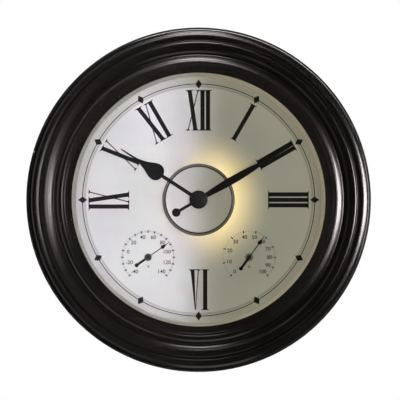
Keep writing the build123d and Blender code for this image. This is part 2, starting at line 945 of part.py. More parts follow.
def make_clock_contacts():
    middle = -movement_bottom + movement_wall + partition_gap + cell_diameter / 2
    inside = movement_half_width - movement_wall
    cell_end = (cell_length + cell_nub_height) / 2
    level = front_inside - cell_gap - cell_diameter / 2
    plates = []
    for side in (-1, 1):
        near, far = cell_end + gear_gap, inside
        bent = block(far - contact_thickness, far, -contact_width / 2, contact_width / 2, 0, contact_height)
        bent = bent + block(near, far, -contact_width / 4, contact_width / 4, contact_height / 3, contact_height / 2)
        turned = bent if side > 0 else Rot(0, 0, 180) * bent
        plates.append(Pos(0, middle, level - contact_height / 2) * turned)
    return plates


# Hands: flat stampings with a collar; each is drawn along +X and turned to its reading
hour_taper_shares = ((0.25, 0.70), (0.46, 0.36), (0.66, 0.17))
minute_blade_shares = (
    (0.15, 0.74),
    (0.25, 0.91),
    (0.36, 0.97),
    (0.48, 0.89),
    (0.56, 0.76),
    (0.63, 0.575),
    (0.70, 0.39),
)


def mirrored_blade(edges, start, end):
    half = make_face(Curve() + [*edges, Line((end, 0), (start, 0))])
    return half + mirror(half, about=Plane.XZ)


def hour_hand_face():
    rod, bulb = hour_rod_width / 2, hour_bulb_width / 2
    widest = hour_bulb_start + bulb * 0.84
    needle_start = widest + (hour_hand_length - widest) * 0.8
    arc = ThreePointArc(
        (hour_bulb_start, rod),
        (hour_bulb_start + bulb * 0.26, bulb * 0.75),
        (widest, bulb),
    )
    taper = [(widest + (needle_start - widest) * along, bulb * wide) for along, wide in hour_taper_shares]
    curve = Spline(
        (widest, bulb), *taper, (needle_start, needle_width / 2), tangents=((1, 0), (1, -0.02))
    )
    edges = [
        Polyline((0, 0), (0, rod), (hour_bulb_start, rod)),
        arc,
        curve,
        Polyline((needle_start, needle_width / 2), (hour_hand_length, tip_width / 2), (hour_hand_length, 0)),
    ]
    return mirrored_blade(edges, 0, hour_hand_length) + Circle(hand_hub_radius)


def minute_hand_face():
    blade = minute_blade_width / 2
    needle_start = minute_hand_length * 0.76
    points = [(minute_hand_length * along, blade * wide) for along, wide in minute_blade_shares]
    edges = [
        Line((0, 0), (0, blade * 0.6)),
        Spline((0, blade * 0.6), *points, (needle_start, needle_width / 2)),
        Polyline((needle_start, needle_width / 2), (minute_hand_length, tip_width / 2), (minute_hand_length, 0)),
    ]
    face = mirrored_blade(edges, 0, minute_hand_length) + Circle(hand_hub_radius)
    face = face + Pos(-tail_ball_centre / 2, 0) * Rectangle(tail_ball_centre, tail_rod_width)
    return face + Pos(-tail_ball_centre, 0) * Circle(tail_ball_radius)


def make_hand(face, angle, low, bore):
    body = lift(face, low, low + hand_thickness)
    body = body + cylinder(bore + hand_boss_wall, low - hand_boss_height, low)
    body = body - cylinder(bore, low - hand_boss_height, low + hand_thickness)
    return Rot(0, 0, angle) * body


def make_hour_hand():
    return make_hand(hour_hand_face(), hour_hand_angle, hour_low, hour_tube_radius)


def make_minute_hand():
    return make_hand(minute_hand_face(), minute_hand_angle, minute_low, arbor_radius)


def make_hub_cap():
    rise = cap_height - hub_cap_edge
    dome_radius = (hub_cap_radius**2 + rise**2) / (2 * rise)
    dome_drop = dome_radius - math.sqrt(dome_radius**2 - hub_cap_radius**2 / 4)
    dome = spin_section(
        section_line(
            (0, cap_high),
            (0, minute_high),
            (hub_cap_radius, minute_high),
            (hub_cap_radius, minute_high + hub_cap_edge),
        ),
        section_arc(
            (hub_cap_radius, minute_high + hub_cap_edge),
            (hub_cap_radius / 2, cap_high - dome_drop),
            (0, cap_high),
        ),
    )
    return dome - cylinder(arbor_radius, minute_high, minute_high + hub_cap_bore_depth)


# Gauges: a cup behind the panel, a bimetal or hair coil in it, and an arbor that carries the pointer
def gauge_middle(side):
    return side * gauge_x, gauge_y


def make_gauge_can(side):
    x, y = gauge_middle(side)
    back = panel_back - can_depth
    inside = can_radius - can_wall
    can = cylinder(can_radius, back, panel_back)
    can = can + cylinder(can_flange_radius, panel_back - can_flange_thickness, panel_back)
    can = can + cylinder(can_collar_radius, panel_back, panel_front)
    can = can - cylinder(inside - can_wall, back + can_wall, panel_front)
    can = can - cylinder(inside, back + can_wall, panel_back - can_wall)
    can = can + cylinder(can_boss_radius, back + can_wall, back + can_wall + can_boss_height)
    bore = gauge_arbor_radius + running_clearance
    can = can - cylinder(bore, back + can_wall, back + can_wall + can_boss_height)
    return Pos(x, y) * can


def make_gauge_coil(side):
    x, y = gauge_middle(side)
    low = panel_back - can_depth + can_wall + can_boss_height + fit_gap
    first = gauge_arbor_radius + fit_gap + coil_strip_thickness / 2
    half = coil_strip_thickness / 2
    reach = can_radius
    strip = None
    for index in range(2 * coil_turns):
        radius = first + index * coil_strip_pitch / 2
        upper = index % 2 == 0
        centre = Pos(0 if upper else coil_strip_pitch / 2, 0)
        ring = centre * (Circle(radius + half) - Circle(radius - half))
        keep = Pos(0, reach if upper else -reach) * Rectangle(4 * reach, 2 * reach)
        strip = ring & keep if strip is None else strip + (ring & keep)
    end = first + coil_turns * coil_strip_pitch
    wall = can_radius - can_wall - fit_gap / 3
    tail = Pos((end - half + wall) / 2, half) * Rectangle(wall - end + half, coil_strip_thickness)
    return lift(strip + tail, low, low + coil_strip_height, x, y)


def make_gauge_arbor(side):
    x, y = gauge_middle(side)
    back = panel_back - can_depth + can_wall + gear_gap
    pointer_low = dial_front + pointer_lift
    hub_low = pointer_low + pointer_thickness
    arbor = cylinder(gauge_arbor_radius, back, hub_low + gauge_hub_height / 2)
    shoulder = cylinder(gauge_shoulder_radius, dial_front + gear_gap, pointer_low)
    return Pos(x, y) * (arbor + shoulder)


def make_gauge_pointer(side, angle, disc_size):
    x, y = gauge_middle(side)
    needle_start = pointer_bulge_centre + pointer_bulge_radius
    face = Circle(disc_size) + Pos(pointer_bulge_centre, 0) * Circle(pointer_bulge_radius)
    face = face + Pos(pointer_bulge_centre / 2, 0) * Rectangle(pointer_bulge_centre, pointer_needle_width)
    needle = Polyline(
        (needle_start - pointer_bulge_radius / 2, pointer_bulge_radius * 0.86),
        (needle_start + pointer_bulge_radius, pointer_needle_width / 2),
        (pointer_length, pointer_needle_width / 4),
        (pointer_length, -pointer_needle_width / 4),
        (needle_start + pointer_bulge_radius, -pointer_needle_width / 2),
        (needle_start - pointer_bulge_radius / 2, -pointer_bulge_radius * 0.86),
        close=True,
    )
    face = face + make_face(needle)
    face = face + Pos(-pointer_tail / 2, 0) * Rectangle(pointer_tail, pointer_rod_width)
    face = face + Pos(-pointer_tail, 0) * Circle(pointer_tail_ball)
    face = face - Circle(gauge_arbor_radius)
    low = dial_front + pointer_lift
    return Pos(x, y) * (Rot(0, 0, angle) * lift(face, low, low + pointer_thickness))


def make_gauge_hub(side, radius):
    x, y = gauge_middle(side)
    low = dial_front + pointer_lift + pointer_thickness
    hub = spin_section(
        section_line(
            (0, low),
            (radius, low),
            (radius, low + gauge_hub_height - gauge_hub_chamfer),
            (radius - gauge_hub_chamfer, low + gauge_hub_height),
            (0, low + gauge_hub_height),
            (0, low),
        )
    )
    return Pos(x, y) * (hub - cylinder(gauge_arbor_radius, low, low + gauge_hub_height / 2))


# Battery box of the lamps: a tray of cells behind a sliding door, over a bay for the board and switch
cell_full = cell_length + cell_nub_height
bay_width = light_cell_count * cell_diameter + (light_cell_count + 1) * light_cell_gap
bay_height = cell_full + 2 * light_contact_room
box_half = bay_width / 2 + box_wall
bay_high = box_top - box_wall
bay_low = bay_high - bay_height
circuit_high = bay_low - box_wall
circuit_low = circuit_high - circuit_bay_height
box_bottom = circuit_low - box_wall
box_floor_level = panel_back - box_floor
box_back = box_floor_level - cell_gap - cell_diameter - cell_gap
groove_high = box_back + door_skirt_depth
groove_low = groove_high - door_lip_height - 2 * door_lip_margin


def light_box_ears():
    x = box_half + box_ear_radius
    levels = (box_top - box_ear_high_inset, box_bottom + box_ear_low_inset)
    return [(side * x, y) for side in (-1, 1) for y in levels]


def make_light_box():
    outline = Pos(0, (box_top + box_bottom) / 2) * RectangleRounded(2 * box_half, box_top - box_bottom, box_corner)
    box = lift(outline, box_back, panel_back)
    box = box - block(-bay_width / 2, bay_width / 2, bay_low, bay_high, box_back, box_floor_level)
    bay_back = box_back + box_wall
    box = box - block(-bay_width / 2, bay_width / 2, circuit_low, circuit_high, bay_back, box_floor_level)
    x, y = switch_middle()
    half_width, half_height = switch_window_width / 2, switch_window_height / 2
    box = box - block(x - half_width, x + half_width, y - half_height, y + half_height, box_back, bay_back)
    for side in (-1, 1):
        outer, inner = side * (box_half + cut_overrun), side * (box_half - door_lip - door_lip_margin)
        low, high = min(outer, inner), max(outer, inner)
        box = box - block(low, high, bay_low - box_wall, box_top + cut_overrun, groove_low, groove_high)
    ear_back = panel_back - box_ear_thickness
    for ear_x, ear_y in light_box_ears():
        inner = math.copysign(box_half - box_wall / 2, ear_x)
        ear = cylinder(box_ear_radius, ear_back, panel_back, ear_x, ear_y)
        half = box_ear_radius
        arm = block(min(inner, ear_x), max(inner, ear_x), ear_y - half, ear_y + half, ear_back, panel_back)
        hole = cylinder(small_screw_shank + screw_clearance, ear_back, panel_back, ear_x, ear_y)
        box = box + ear + arm - hole
    for post_x, post_y in control_posts():
        low = box_floor_level - control_post_height
        box = box + cylinder(control_post_radius, low, box_floor_level, post_x, post_y)
    return box


def control_posts():
    middle = (circuit_high + circuit_low) / 2
    return [(side * bay_width / 3, middle) for side in (-1, 1)]


def make_light_box_screws():
    seat = panel_back - box_ear_thickness
    length = box_ear_thickness + panel_thickness * 0.8
    return [
        screw(x, y, seat, small_screw_head, small_screw_head_height, small_screw_shank, length)
        for x, y in light_box_ears()
    ]


def light_cell_places():
    pitch = cell_diameter + light_cell_gap
    start = -pitch * (light_cell_count - 1) / 2
    return [(start + pitch * index, 180 * (index % 2)) for index in range(light_cell_count)]


def make_light_cells():
    middle = (bay_high + bay_low) / 2
    level = box_floor_level - cell_gap - cell_diameter / 2
    return [cell_solid(x, middle, level, angle) for x, angle in light_cell_places()]


def make_light_contacts():
    level = box_floor_level - cell_gap - cell_diameter / 2
    half, tall = contact_width / 2, contact_height / 2
    plates = []
    for x, angle in light_cell_places():
        for wall, way in ((bay_high, -1), (bay_low, 1)):
            near = wall + way * contact_thickness
            tip = wall + way * (light_contact_room - gear_gap)
            plate = block(x - half, x + half, min(wall, near), max(wall, near), level - tall, level + tall)
            pad = block(x - half / 2, x + half / 2, min(wall, tip), max(wall, tip), level - tall / 3, level + tall / 3)
            plates.append(plate + pad)
    return plates


def make_battery_door():
    low = bay_low - box_wall
    outer = box_half + door_lip_margin + door_thickness
    door = block(-outer, outer, low, box_top, box_back - door_gap - door_thickness, box_back - door_gap)
    for side in (-1, 1):
        edge = side * (box_half + door_lip_margin)
        lip = side * (box_half - door_lip)
        skirt_high = groove_high - door_lip_margin
        skirt = block(min(edge, side * outer), max(edge, side * outer), low, box_top, box_back - door_gap, skirt_high)
        hook_low = groove_low + door_lip_margin
        hook = block(min(lip, edge), max(lip, edge), low, box_top, hook_low, skirt_high)
        door = door + skirt + hook
    back = box_back - door_gap - door_thickness
    for index in range(door_grip_count):
        y = low + door_grip_pitch * (index + 1)
        half = door_grip_width / 2
        door = door + block(-half, half, y, y + door_grip_pitch / 3, back - door_grip_height, back)
    return door


def make_control_board():
    high = box_floor_level - control_post_height
    low = high - control_board_thickness
    inset = bay_width / 2 - control_board_margin
    margin = control_board_margin
    return block(-inset, inset, circuit_low + margin, circuit_high - margin, low, high)


def switch_middle():
    return 0, (circuit_high + circuit_low) / 2


def switch_faces():
    back = box_back + box_wall
    return back, back + switch_depth


def make_switch_body():
    x, y = switch_middle()
    back, front = switch_faces()
    half, tall = switch_width / 2, switch_height / 2
    body = block(x - half, x + half, y - tall, y + tall, back, front)
    slot_half, slot_tall = switch_window_width / 2, slider_height / 2 + gear_gap
    room = slider_root + gear_gap
    body = body - block(x - slot_half, x + slot_half, y - slot_tall, y + slot_tall, back, back + room)
    board = box_floor_level - control_post_height - control_board_thickness
    for side in (-1, 1):
        leg = side * switch_width / 3
        quarter = contact_thickness
        body = body + block(leg - quarter, leg + quarter, y - quarter, y + quarter, front, board)
    return body


def make_switch_slider():
    x, y = switch_middle()
    back, front = switch_faces()
    half, tall = slider_width / 2, slider_height / 2
    return block(x - half, x + half, y - tall, y + tall, box_back - slider_proud, back + slider_root)


pieces = {
    "bezel": make_bezel(),
    "lens": make_lens(),
    "lens_gasket": make_lens_gasket(),
    "spacer_ring": make_spacer_ring(),
    "dial_plate": make_dial_plate(),
    "rear_case": make_rear_case(),
    "case_screws": make_case_screws(),
    "hanger_plate": make_hanger_plate(),
    "hanger_screws": make_hanger_screws(),
    "disc_cap": make_disc_cap(),
    "led_board": make_led_board(),
    "leds": make_leds(),
    "disc_screws": make_disc_screws(),
    "movement_base": make_movement_base(),
    "movement_cover": make_movement_cover(),
    "threaded_bush": make_threaded_bush(),
    "washer": make_washer(),
    "hex_nut": make_hex_nut(),
    "hour_wheel": make_hour_wheel(),
    "motion_wheel": make_motion_wheel(),
    "minute_arbor": make_minute_arbor(),
    "centre_wheel": make_centre_wheel(),
    "third_wheel": make_third_wheel(),
    "setting_shaft": make_setting_shaft(),
    "setting_knob": make_setting_knob(),
    "rotor": make_rotor(),
    "stator": make_stator(),
    "coil": make_coil(),
    "coil_core": make_coil_core(),
    "circuit_board": make_circuit_board(),
    "quartz_crystal": make_quartz_crystal(),
    "clock_cell": make_clock_cell(),
    "clock_contacts": make_clock_contacts(),
    "hour_hand": make_hour_hand(),
    "minute_hand": make_minute_hand(),
    "hub_cap": make_hub_cap(),
    "thermometer_can": make_gauge_can(-1),
    "thermometer_coil": make_gauge_coil(-1),
    "thermometer_arbor": make_gauge_arbor(-1),
    "thermometer_pointer": make_gauge_pointer(-1, thermometer_angle, pointer_disc_radius),
    "thermometer_hub": make_gauge_hub(-1, thermometer_hub_radius),
    "hygrometer_can": make_gauge_can(1),
    "hygrometer_coil": make_gauge_coil(1),
    "hygrometer_arbor": make_gauge_arbor(1),
    "hygrometer_pointer": make_gauge_pointer(1, hygrometer_angle, hygrometer_disc_radius),
    "hygrometer_hub": make_gauge_hub(1, hygrometer_hub_radius),
    "light_box": make_light_box(),
    "light_box_screws": make_light_box_screws(),
    "light_cells": make_light_cells(),
    "light_contacts": make_light_contacts(),
    "battery_door": make_battery_door(),
    "control_board": make_control_board(),
    "switch_body": make_switch_body(),
    "switch_slider": make_switch_slider(),
}

os.makedirs("parts", exist_ok=True)
for name, shape in pieces.items():
    solids = shape if isinstance(shape, list) else [shape]
    stood = [stand_up(solid) for solid in solids]
    whole = stood[0] if len(stood) == 1 else Compound(children=stood)
    export_step(whole, os.path.join("parts", name + ".step"))
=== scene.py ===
import math

import bmesh
import bpy
from mathutils import Matrix, Vector


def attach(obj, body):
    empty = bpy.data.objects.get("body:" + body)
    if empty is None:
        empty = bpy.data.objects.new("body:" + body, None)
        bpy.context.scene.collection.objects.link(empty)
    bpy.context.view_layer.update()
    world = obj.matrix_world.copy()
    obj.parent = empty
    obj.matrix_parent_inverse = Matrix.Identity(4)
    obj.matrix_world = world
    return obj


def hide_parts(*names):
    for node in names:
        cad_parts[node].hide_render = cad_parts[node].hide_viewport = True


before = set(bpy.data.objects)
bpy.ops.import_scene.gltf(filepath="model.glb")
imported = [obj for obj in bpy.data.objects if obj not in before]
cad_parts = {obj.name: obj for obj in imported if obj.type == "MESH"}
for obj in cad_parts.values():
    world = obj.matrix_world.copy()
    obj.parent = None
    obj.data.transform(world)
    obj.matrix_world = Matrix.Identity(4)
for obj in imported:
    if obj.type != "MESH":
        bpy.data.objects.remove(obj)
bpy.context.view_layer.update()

# The clock is drawn lying on its back in millimetres: x to the right, y up the dial, z out of the wall.
# hang then stands each piece up in metres, with the dial's middle below the hanging screw.
screw_to_middle = 185.0
middle_height = -screw_to_middle / 1000
hang = (
    Matrix.Translation((0, 0, middle_height))
    @ Matrix.Rotation(math.pi / 2, 4, "X")
    @ Matrix.Scale(0.001, 4)
)

# Places on the dial, from its middle, and the angle of the hygrometer's pointer at rest
gauge_across, gauge_below = 67.5, 76.6
disc_edge = 43.7
post_circle, post_turns = 36.0, (90, 210, 330)
hygrometer_angle = 54.2


def on_circle(radius, degrees):
    turn = math.radians(degrees)
    return radius * math.cos(turn), radius * math.sin(turn)


# Shader maths
class Value:
    """A number, colour or vector in a finish. Arithmetic on it adds Math nodes."""

    def __init__(self, shading, socket):
        self.shading, self.socket = shading, socket

    def math(self, operation, first, second):
        return self.shading.node("Math", {"operation": operation}, {0: first, 1: second})

    def __add__(self, other):
        return self.math("ADD", self, other)

    def __sub__(self, other):
        return self.math("SUBTRACT", self, other)

    def __rsub__(self, other):
        return self.math("SUBTRACT", other, self)

    def __mul__(self, other):
        return self.math("MULTIPLY", self, other)

    def __pow__(self, other):
        return self.math("POWER", self, other)

    __radd__ = __add__
    __rmul__ = __mul__

    def rise(self, low, high, bottom=0.0, top=1.0):
        """Goes from bottom to top while this value goes from low to high, and stays there."""
        span = {"From Min": low, "From Max": high, "To Min": bottom, "To Max": top}
        return self.shading.node("MapRange", {"clamp": True}, {"Value": self, **span})

    def within(self, low, high, blur):
        """One between low and high and zero beyond them, with soft ends."""
        return self.rise(low - blur, low + blur) * (1 - self.rise(high - blur, high + blur))


class Shading:
    """A node tree, filled by calls that each give back a Value."""

    def __init__(self, tree):
        self.tree = tree
        self.tree.nodes.clear()

    def node(self, kind, settings=None, sockets=None, out=0):
        made = self.tree.nodes.new("ShaderNode" + kind)
        for key, value in (settings or {}).items():
            setattr(made, key, value)
        for key, value in (sockets or {}).items():
            if isinstance(value, Value):
                self.tree.links.new(value.socket, made.inputs[key])
            else:
                made.inputs[key].default_value = value
        return Value(self, made.outputs[out])

    def end(self, kind, shader):
        output = self.tree.nodes.new("ShaderNodeOutput" + kind)
        self.tree.links.new(shader.socket, output.inputs["Surface"])


class Finish(Shading):
    """One finish of the clock: its node tree, ending in a Principled surface."""

    def __init__(self, name, **uniform):
        self.material = bpy.data.materials.new(name)
        self.material.use_nodes = True
        super().__init__(self.material.node_tree)
        self.place = self.node("TexCoord", out="Object")
        self.uniform = uniform

    def noise(self, scale, detail=3.0, stretch=(1, 1, 1), roughness=0.55):
        place = self.place
        if stretch != (1, 1, 1):
            place = self.node("Mapping", {}, {"Vector": place, "Scale": stretch})
        sockets = {"Vector": place, "Scale": scale, "Detail": detail, "Roughness": roughness}
        return self.node("TexNoise", {}, sockets)

    def flecks(self, scale):
        return self.node("TexVoronoi", {}, {"Vector": self.place, "Scale": scale})

    def mix(self, share, first, second):
        return self.node("Mix", {"data_type": "RGBA"}, {0: share, 6: rgba(first), 7: rgba(second)}, out=2)

    def axis(self, letter):
        return self.node("SeparateXYZ", {}, {0: self.place}, out=letter)

    def beside(self, x, y):
        """How far right of and above a place on the dial, in metres. The place is in millimetres."""
        return self.axis("X") - x / 1000, self.axis("Z") - (y - screw_to_middle) / 1000

    def away_from(self, x, y):
        """Distance from a place on the dial, both in millimetres."""
        across, up = self.beside(x, y)
        return (across * across + up * up) ** 0.5 * 1000.0

    def surface(self, colour, roughness, metallic=None, height=None, depth=0.0002, glow=None, alpha=None):
        sockets = {"Base Color": colour, "Roughness": roughness, **self.uniform}
        if metallic is not None:
            sockets["Metallic"] = metallic
        if height is not None:
            sockets["Normal"] = self.node("Bump", {}, {"Strength": 0.6, "Distance": depth, "Height": height})
        if glow is not None:
            sockets["Emission Color"] = glow
        if alpha is not None:
            sockets["Alpha"] = alpha
        self.end("Material", self.node("BsdfPrincipled", {}, sockets))
        return self.material


def rgba(colour):
    return colour if isinstance(colour, Value) else (*colour[:3], 1.0)


def brighter(colour, times):
    return [times * channel for channel in colour]


# Finishes. Depths of the bumps are in metres.
def moulded(name, colour, worn, rough, grain=2600.0, depth=0.00004, **uniform):
    finish = Finish(name, **uniform)
    clouds = finish.noise(28.0, 4.0)
    rubs = finish.noise(260.0, 2.0, (1, 1, 0.25)).rise(0.56, 0.78)
    shade = finish.mix(clouds.rise(0.35, 0.7) * 0.6 + rubs * 0.3, colour, worn)
    fine = finish.noise(grain, 2.0)
    roughness = clouds * 0.12 + fine * 0.08 + (rough - 0.10)
    return finish.surface(shade, roughness, height=fine, depth=depth)


def metal(name, colour, worn, rough):
    finish = Finish(name)
    brushed = finish.noise(420.0, 3.0, (1, 1, 12))
    spots = finish.noise(90.0, 4.0).rise(0.5, 0.8)
    shade = finish.mix(spots * 0.7 + brushed * 0.25, colour, worn)
    roughness = brushed * 0.16 + spots * 0.2 + (rough - 0.10)
    metallic = 1 - spots * 0.25
    return finish.surface(shade, roughness, metallic, brushed, 0.00003)


def bronze_finish():
    coat = {"Coat Weight": 0.6, "Coat Roughness": 0.16, "Coat IOR": 1.5}
    finish = Finish("bronze", IOR=1.56, **coat, **{"Specular Tint": (1.0, 0.93, 0.94, 1.0)})
    clouds = finish.noise(16.0, 5.0)
    mottle = finish.noise(140.0, 4.0, roughness=0.65)
    sparse = finish.flecks(900.0).rise(0.0, 0.35)
    share = clouds.rise(0.38, 0.68) * 0.55 + mottle.rise(0.45, 0.75) * 0.35
    shade = finish.mix(share, (0.0048, 0.0043, 0.0041), (0.0120, 0.0092, 0.0084))
    shade = finish.mix(sparse, (0.020, 0.014, 0.011), shade)
    peel = finish.noise(1600.0, 2.0) * 0.7 + finish.noise(5200.0, 1.0) * 0.3
    roughness = clouds * 0.10 + mottle * 0.08 + 0.15
    return finish.surface(shade, roughness, height=peel, depth=0.00002)


def dial_finish():
    """White paper with a grey ring inside the track and a greyer band outside it.

    The light of the lamps under the disc is painted on it as a warm glow near the disc, and faintly so on the left.
    """
    ring_inner, ring_outer, band_edge = 150.8, 153.6, 155.0
    painted_glow_start, painted_glow_end, faint_share = 47.0, 100.0, 0.07
    finish = Finish("dial", IOR=1.45, **{"Emission Strength": 1.0})
    radius = finish.away_from(0, 0)
    paper = finish.noise(900.0, 3.0)
    clouds = finish.noise(12.0, 3.0)
    field = finish.mix(clouds.rise(0.3, 0.7), (0.800, 0.790, 0.800), (0.835, 0.828, 0.832))
    field = finish.mix(paper.rise(0.45, 0.75) * 0.25, field, (0.770, 0.765, 0.760))
    band = finish.mix(paper.rise(0.35, 0.65), (0.620, 0.610, 0.612), (0.680, 0.670, 0.672))
    shade = finish.mix(radius.rise(band_edge - 0.4, band_edge + 0.4), field, band)
    shade = finish.mix(radius.within(ring_inner, ring_outer, 0.35), shade, (0.560, 0.550, 0.550))
    # Painted lamp light: the dial is no lamp, but glows near the disc, strongly on the right and faintly on the
    # left
    near = 1 - radius.rise(painted_glow_start, painted_glow_end)
    painted_light_right_side = finish.axis("X").rise(-0.025, 0.030)
    painted_lamp_light = near ** 1.9 * (painted_light_right_side * (1 - faint_share) + faint_share)
    glow = finish.mix(painted_lamp_light, (0, 0, 0), (0.88, 0.66, 0.25))
    return finish.surface(shade, paper * 0.10 + 0.42, height=paper, depth=0.00001, glow=glow)


def disc_finish():
    """White face, a white sloping rim painted grey as painted shade, and a dark line where they meet."""
    finish = Finish("disc", IOR=1.45, **{"Specular IOR Level": 0.3})
    radius = finish.away_from(0, 0)
    paper = finish.noise(1100.0, 3.0)
    clouds = finish.noise(20.0, 3.0)
    face = finish.mix(clouds.rise(0.3, 0.7), (0.800, 0.795, 0.790), (0.840, 0.836, 0.830))
    # Painted shade: the rim is white like the face, and this grey stands in for its shading
    rim = finish.mix(paper.rise(0.3, 0.7), (0.215, 0.212, 0.195), (0.260, 0.256, 0.236))
    shade = finish.mix(radius.rise(disc_edge, disc_edge + 0.5), face, rim)
    shade = finish.mix(radius.within(disc_edge, disc_edge + 1.5, 0.20), shade, (0.016, 0.015, 0.013))
    return finish.surface(shade, paper * 0.08 + 0.40, height=paper, depth=0.00001)


def white_finish():
    """The white wall round the dial, with a little painted lamp light, a faint glow, on its right side."""
    finish = Finish("white_plastic", IOR=1.46, **{"Emission Strength": 1.0})
    clouds = finish.noise(22.0, 3.0)
    fine = finish.noise(2200.0, 2.0)
    shade = finish.mix(clouds.rise(0.3, 0.7), (0.76, 0.75, 0.73), (0.82, 0.81, 0.79))
    # Painted lamp light: an emission that grows towards the right side of the wall
    glow = finish.mix(finish.axis("X").rise(-0.06, 0.06), (0.012, 0.012, 0.015), (0.150, 0.124, 0.078))
    return finish.surface(shade, fine * 0.10 + clouds * 0.06 + 0.36, height=fine, depth=0.00001, glow=glow)


def ink_finish(name, dark, pale):
    finish = Finish(name, IOR=1.45, **{"Specular IOR Level": 0.25})
    blotch = finish.noise(700.0, 3.0)
    shade = finish.mix(blotch.rise(0.4, 0.75), dark, pale)
    return finish.surface(shade, blotch * 0.15 + 0.26, height=blotch, depth=0.00001)


def glass_finish():
    finish = Finish("glass", IOR=1.5, **{"Specular IOR Level": 0.5})
    smear = finish.noise(18.0, 5.0)
    shade = finish.mix(smear, (0.010, 0.014, 0.012), (0.016, 0.020, 0.018))
    return finish.surface(shade, smear * 0.05 + 0.01, alpha=smear.rise(0.4, 0.9) * 0.02 + 0.035)


def enamel_finish(name, dark, pale, rough):
    finish = Finish(name, IOR=1.5, **{"Specular IOR Level": 0.25})
    clouds = finish.noise(60.0, 4.0)
    fine = finish.noise(1800.0, 2.0)
    shade = finish.mix(clouds.rise(0.4, 0.7), dark, pale)
    roughness = clouds * 0.14 + fine * 0.08 + (rough - 0.1)
    return finish.surface(shade, roughness, height=fine, depth=0.00002)


def hub_finish(name, side, collar):
    """A gauge hub: a smoky collar with a black boss in its middle."""
    boss_radius = 2.7
    finish = Finish(name, IOR=1.5)
    radius = finish.away_from(side * gauge_across, -gauge_below)
    grain = finish.noise(900.0, 3.0)
    rim = finish.mix(grain, collar, brighter(collar, 1.25))
    shade = finish.mix(radius.rise(boss_radius, boss_radius + 0.4), (0.006, 0.0055, 0.005), rim)
    return finish.surface(shade, grain * 0.12 + 0.32, height=grain, depth=0.00001)


def pointer_finish(name, side, angle, disc):
    """A black pointer, coloured paler beside its rod near the pivot."""
    rod_edge, disc_radius = 1.6, 5.6
    finish = Finish(name, IOR=1.5, **{"Specular IOR Level": 0.2})
    pivot = (side * gauge_across, -gauge_below)
    across, up = finish.beside(*pivot)
    turn = math.radians(angle)
    along = (across * math.cos(turn) + up * math.sin(turn)) * 1000.0
    aside = (up * math.cos(turn) - across * math.sin(turn)) * 1000.0
    from_rod = (aside * aside) ** 0.5 + along.rise(-0.1, 0.1)
    near_pivot = 1 - finish.away_from(*pivot).rise(disc_radius, disc_radius + 0.3)
    grain = finish.noise(900.0, 3.0)
    rod = finish.mix(grain, (0.0048, 0.0046, 0.0045), (0.0090, 0.0086, 0.0083))
    plate = finish.mix(grain, disc, brighter(disc, 1.15))
    shade = finish.mix(from_rod.rise(rod_edge, rod_edge + 0.2) * near_pivot, rod, plate)
    return finish.surface(shade, grain * 0.12 + 0.26, height=grain, depth=0.00001)


def winding_finish():
    finish = Finish("winding", IOR=1.5)
    turns = finish.node("TexWave", {"bands_direction": "Z"}, {"Vector": finish.place, "Scale": 900.0})
    tone = finish.noise(300.0, 3.0)
    shade = finish.mix(turns * 0.5 + tone * 0.5, (0.30, 0.085, 0.030), (0.80, 0.34, 0.15))
    return finish.surface(shade, tone * 0.15 + 0.28, 1 - tone * 0.3, turns, 0.0001)


def board_finish():
    finish = Finish("circuit", IOR=1.5)
    sockets = {"Vector": finish.place, "Scale": 260.0, "Mortar": (0, 0, 0, 1), "Mortar Size": 0.04}
    sockets.update({"Color1": (1, 1, 1, 1), "Color2": (0.6, 0.6, 0.6, 1)})
    tracks = finish.node("TexBrick", {"offset": 0.5}, sockets, out="Fac")
    tone = finish.noise(400.0, 3.0)
    shade = finish.mix(tracks * 0.5 + tone * 0.4, (0.012, 0.085, 0.032), (0.030, 0.180, 0.070))
    return finish.surface(shade, tone * 0.12 + 0.30, height=tracks, depth=0.00005)


def lamp_finish():
    finish = Finish("lamp", IOR=1.5, **{"Emission Strength": 2.5})
    tone = finish.noise(1500.0, 2.0)
    shade = finish.mix(tone, (0.90, 0.80, 0.42), (0.95, 0.90, 0.62))
    glow = finish.mix(tone, (1.0, 0.74, 0.34), (1.0, 0.82, 0.45))
    return finish.surface(shade, tone * 0.1 + 0.30, glow=glow)


def floor_finish():
    finish = Finish("floor", **{"Emission Strength": 1.0})
    clouds = finish.noise(3.0, 4.0)
    fine = finish.noise(160.0, 2.0)
    shade = finish.mix(clouds, (0.80, 0.80, 0.795), (0.86, 0.86, 0.855))
    glow = finish.mix(clouds, (0.50, 0.50, 0.50), (0.56, 0.56, 0.56))
    return finish.surface(shade, fine * 0.1 + 0.6, height=fine, depth=0.0002, glow=glow)


# Colour, colour where it is worn, how rough it is and, for moulded pieces, the scale and depth of the grain
moulded_finishes = {
    "box_black": ((0.019, 0.019, 0.020), (0.042, 0.041, 0.041), 0.50, 3000.0),
    "movement_black": ((0.012, 0.012, 0.013), (0.030, 0.030, 0.032), 0.46, 3400.0),
    "knob_grey": ((0.085, 0.085, 0.090), (0.150, 0.150, 0.155), 0.42, 3000.0),
    "nylon": ((0.72, 0.69, 0.58), (0.82, 0.80, 0.71), 0.44, 2400.0),
    "rubber": ((0.012, 0.012, 0.012), (0.03, 0.03, 0.03), 0.78, 1800.0, 0.0001),
    "magnet": ((0.06, 0.06, 0.065), (0.12, 0.12, 0.125), 0.55, 2200.0),
    "sleeve": ((0.018, 0.019, 0.022), (0.045, 0.047, 0.052), 0.30, 900.0, 0.00001),
}
metal_finishes = {
    "zinc": ((0.62, 0.62, 0.60), (0.40, 0.39, 0.36), 0.34),
    "steel": ((0.58, 0.58, 0.60), (0.36, 0.35, 0.34), 0.26),
    "brass": ((0.78, 0.57, 0.25), (0.50, 0.34, 0.14), 0.28),
    "nickel": ((0.74, 0.71, 0.64), (0.52, 0.49, 0.42), 0.24),
    "bimetal": ((0.66, 0.52, 0.32), (0.42, 0.32, 0.20), 0.30),
}
case_black = ((0.0100, 0.0095, 0.0092), (0.026, 0.024, 0.023), 0.52)
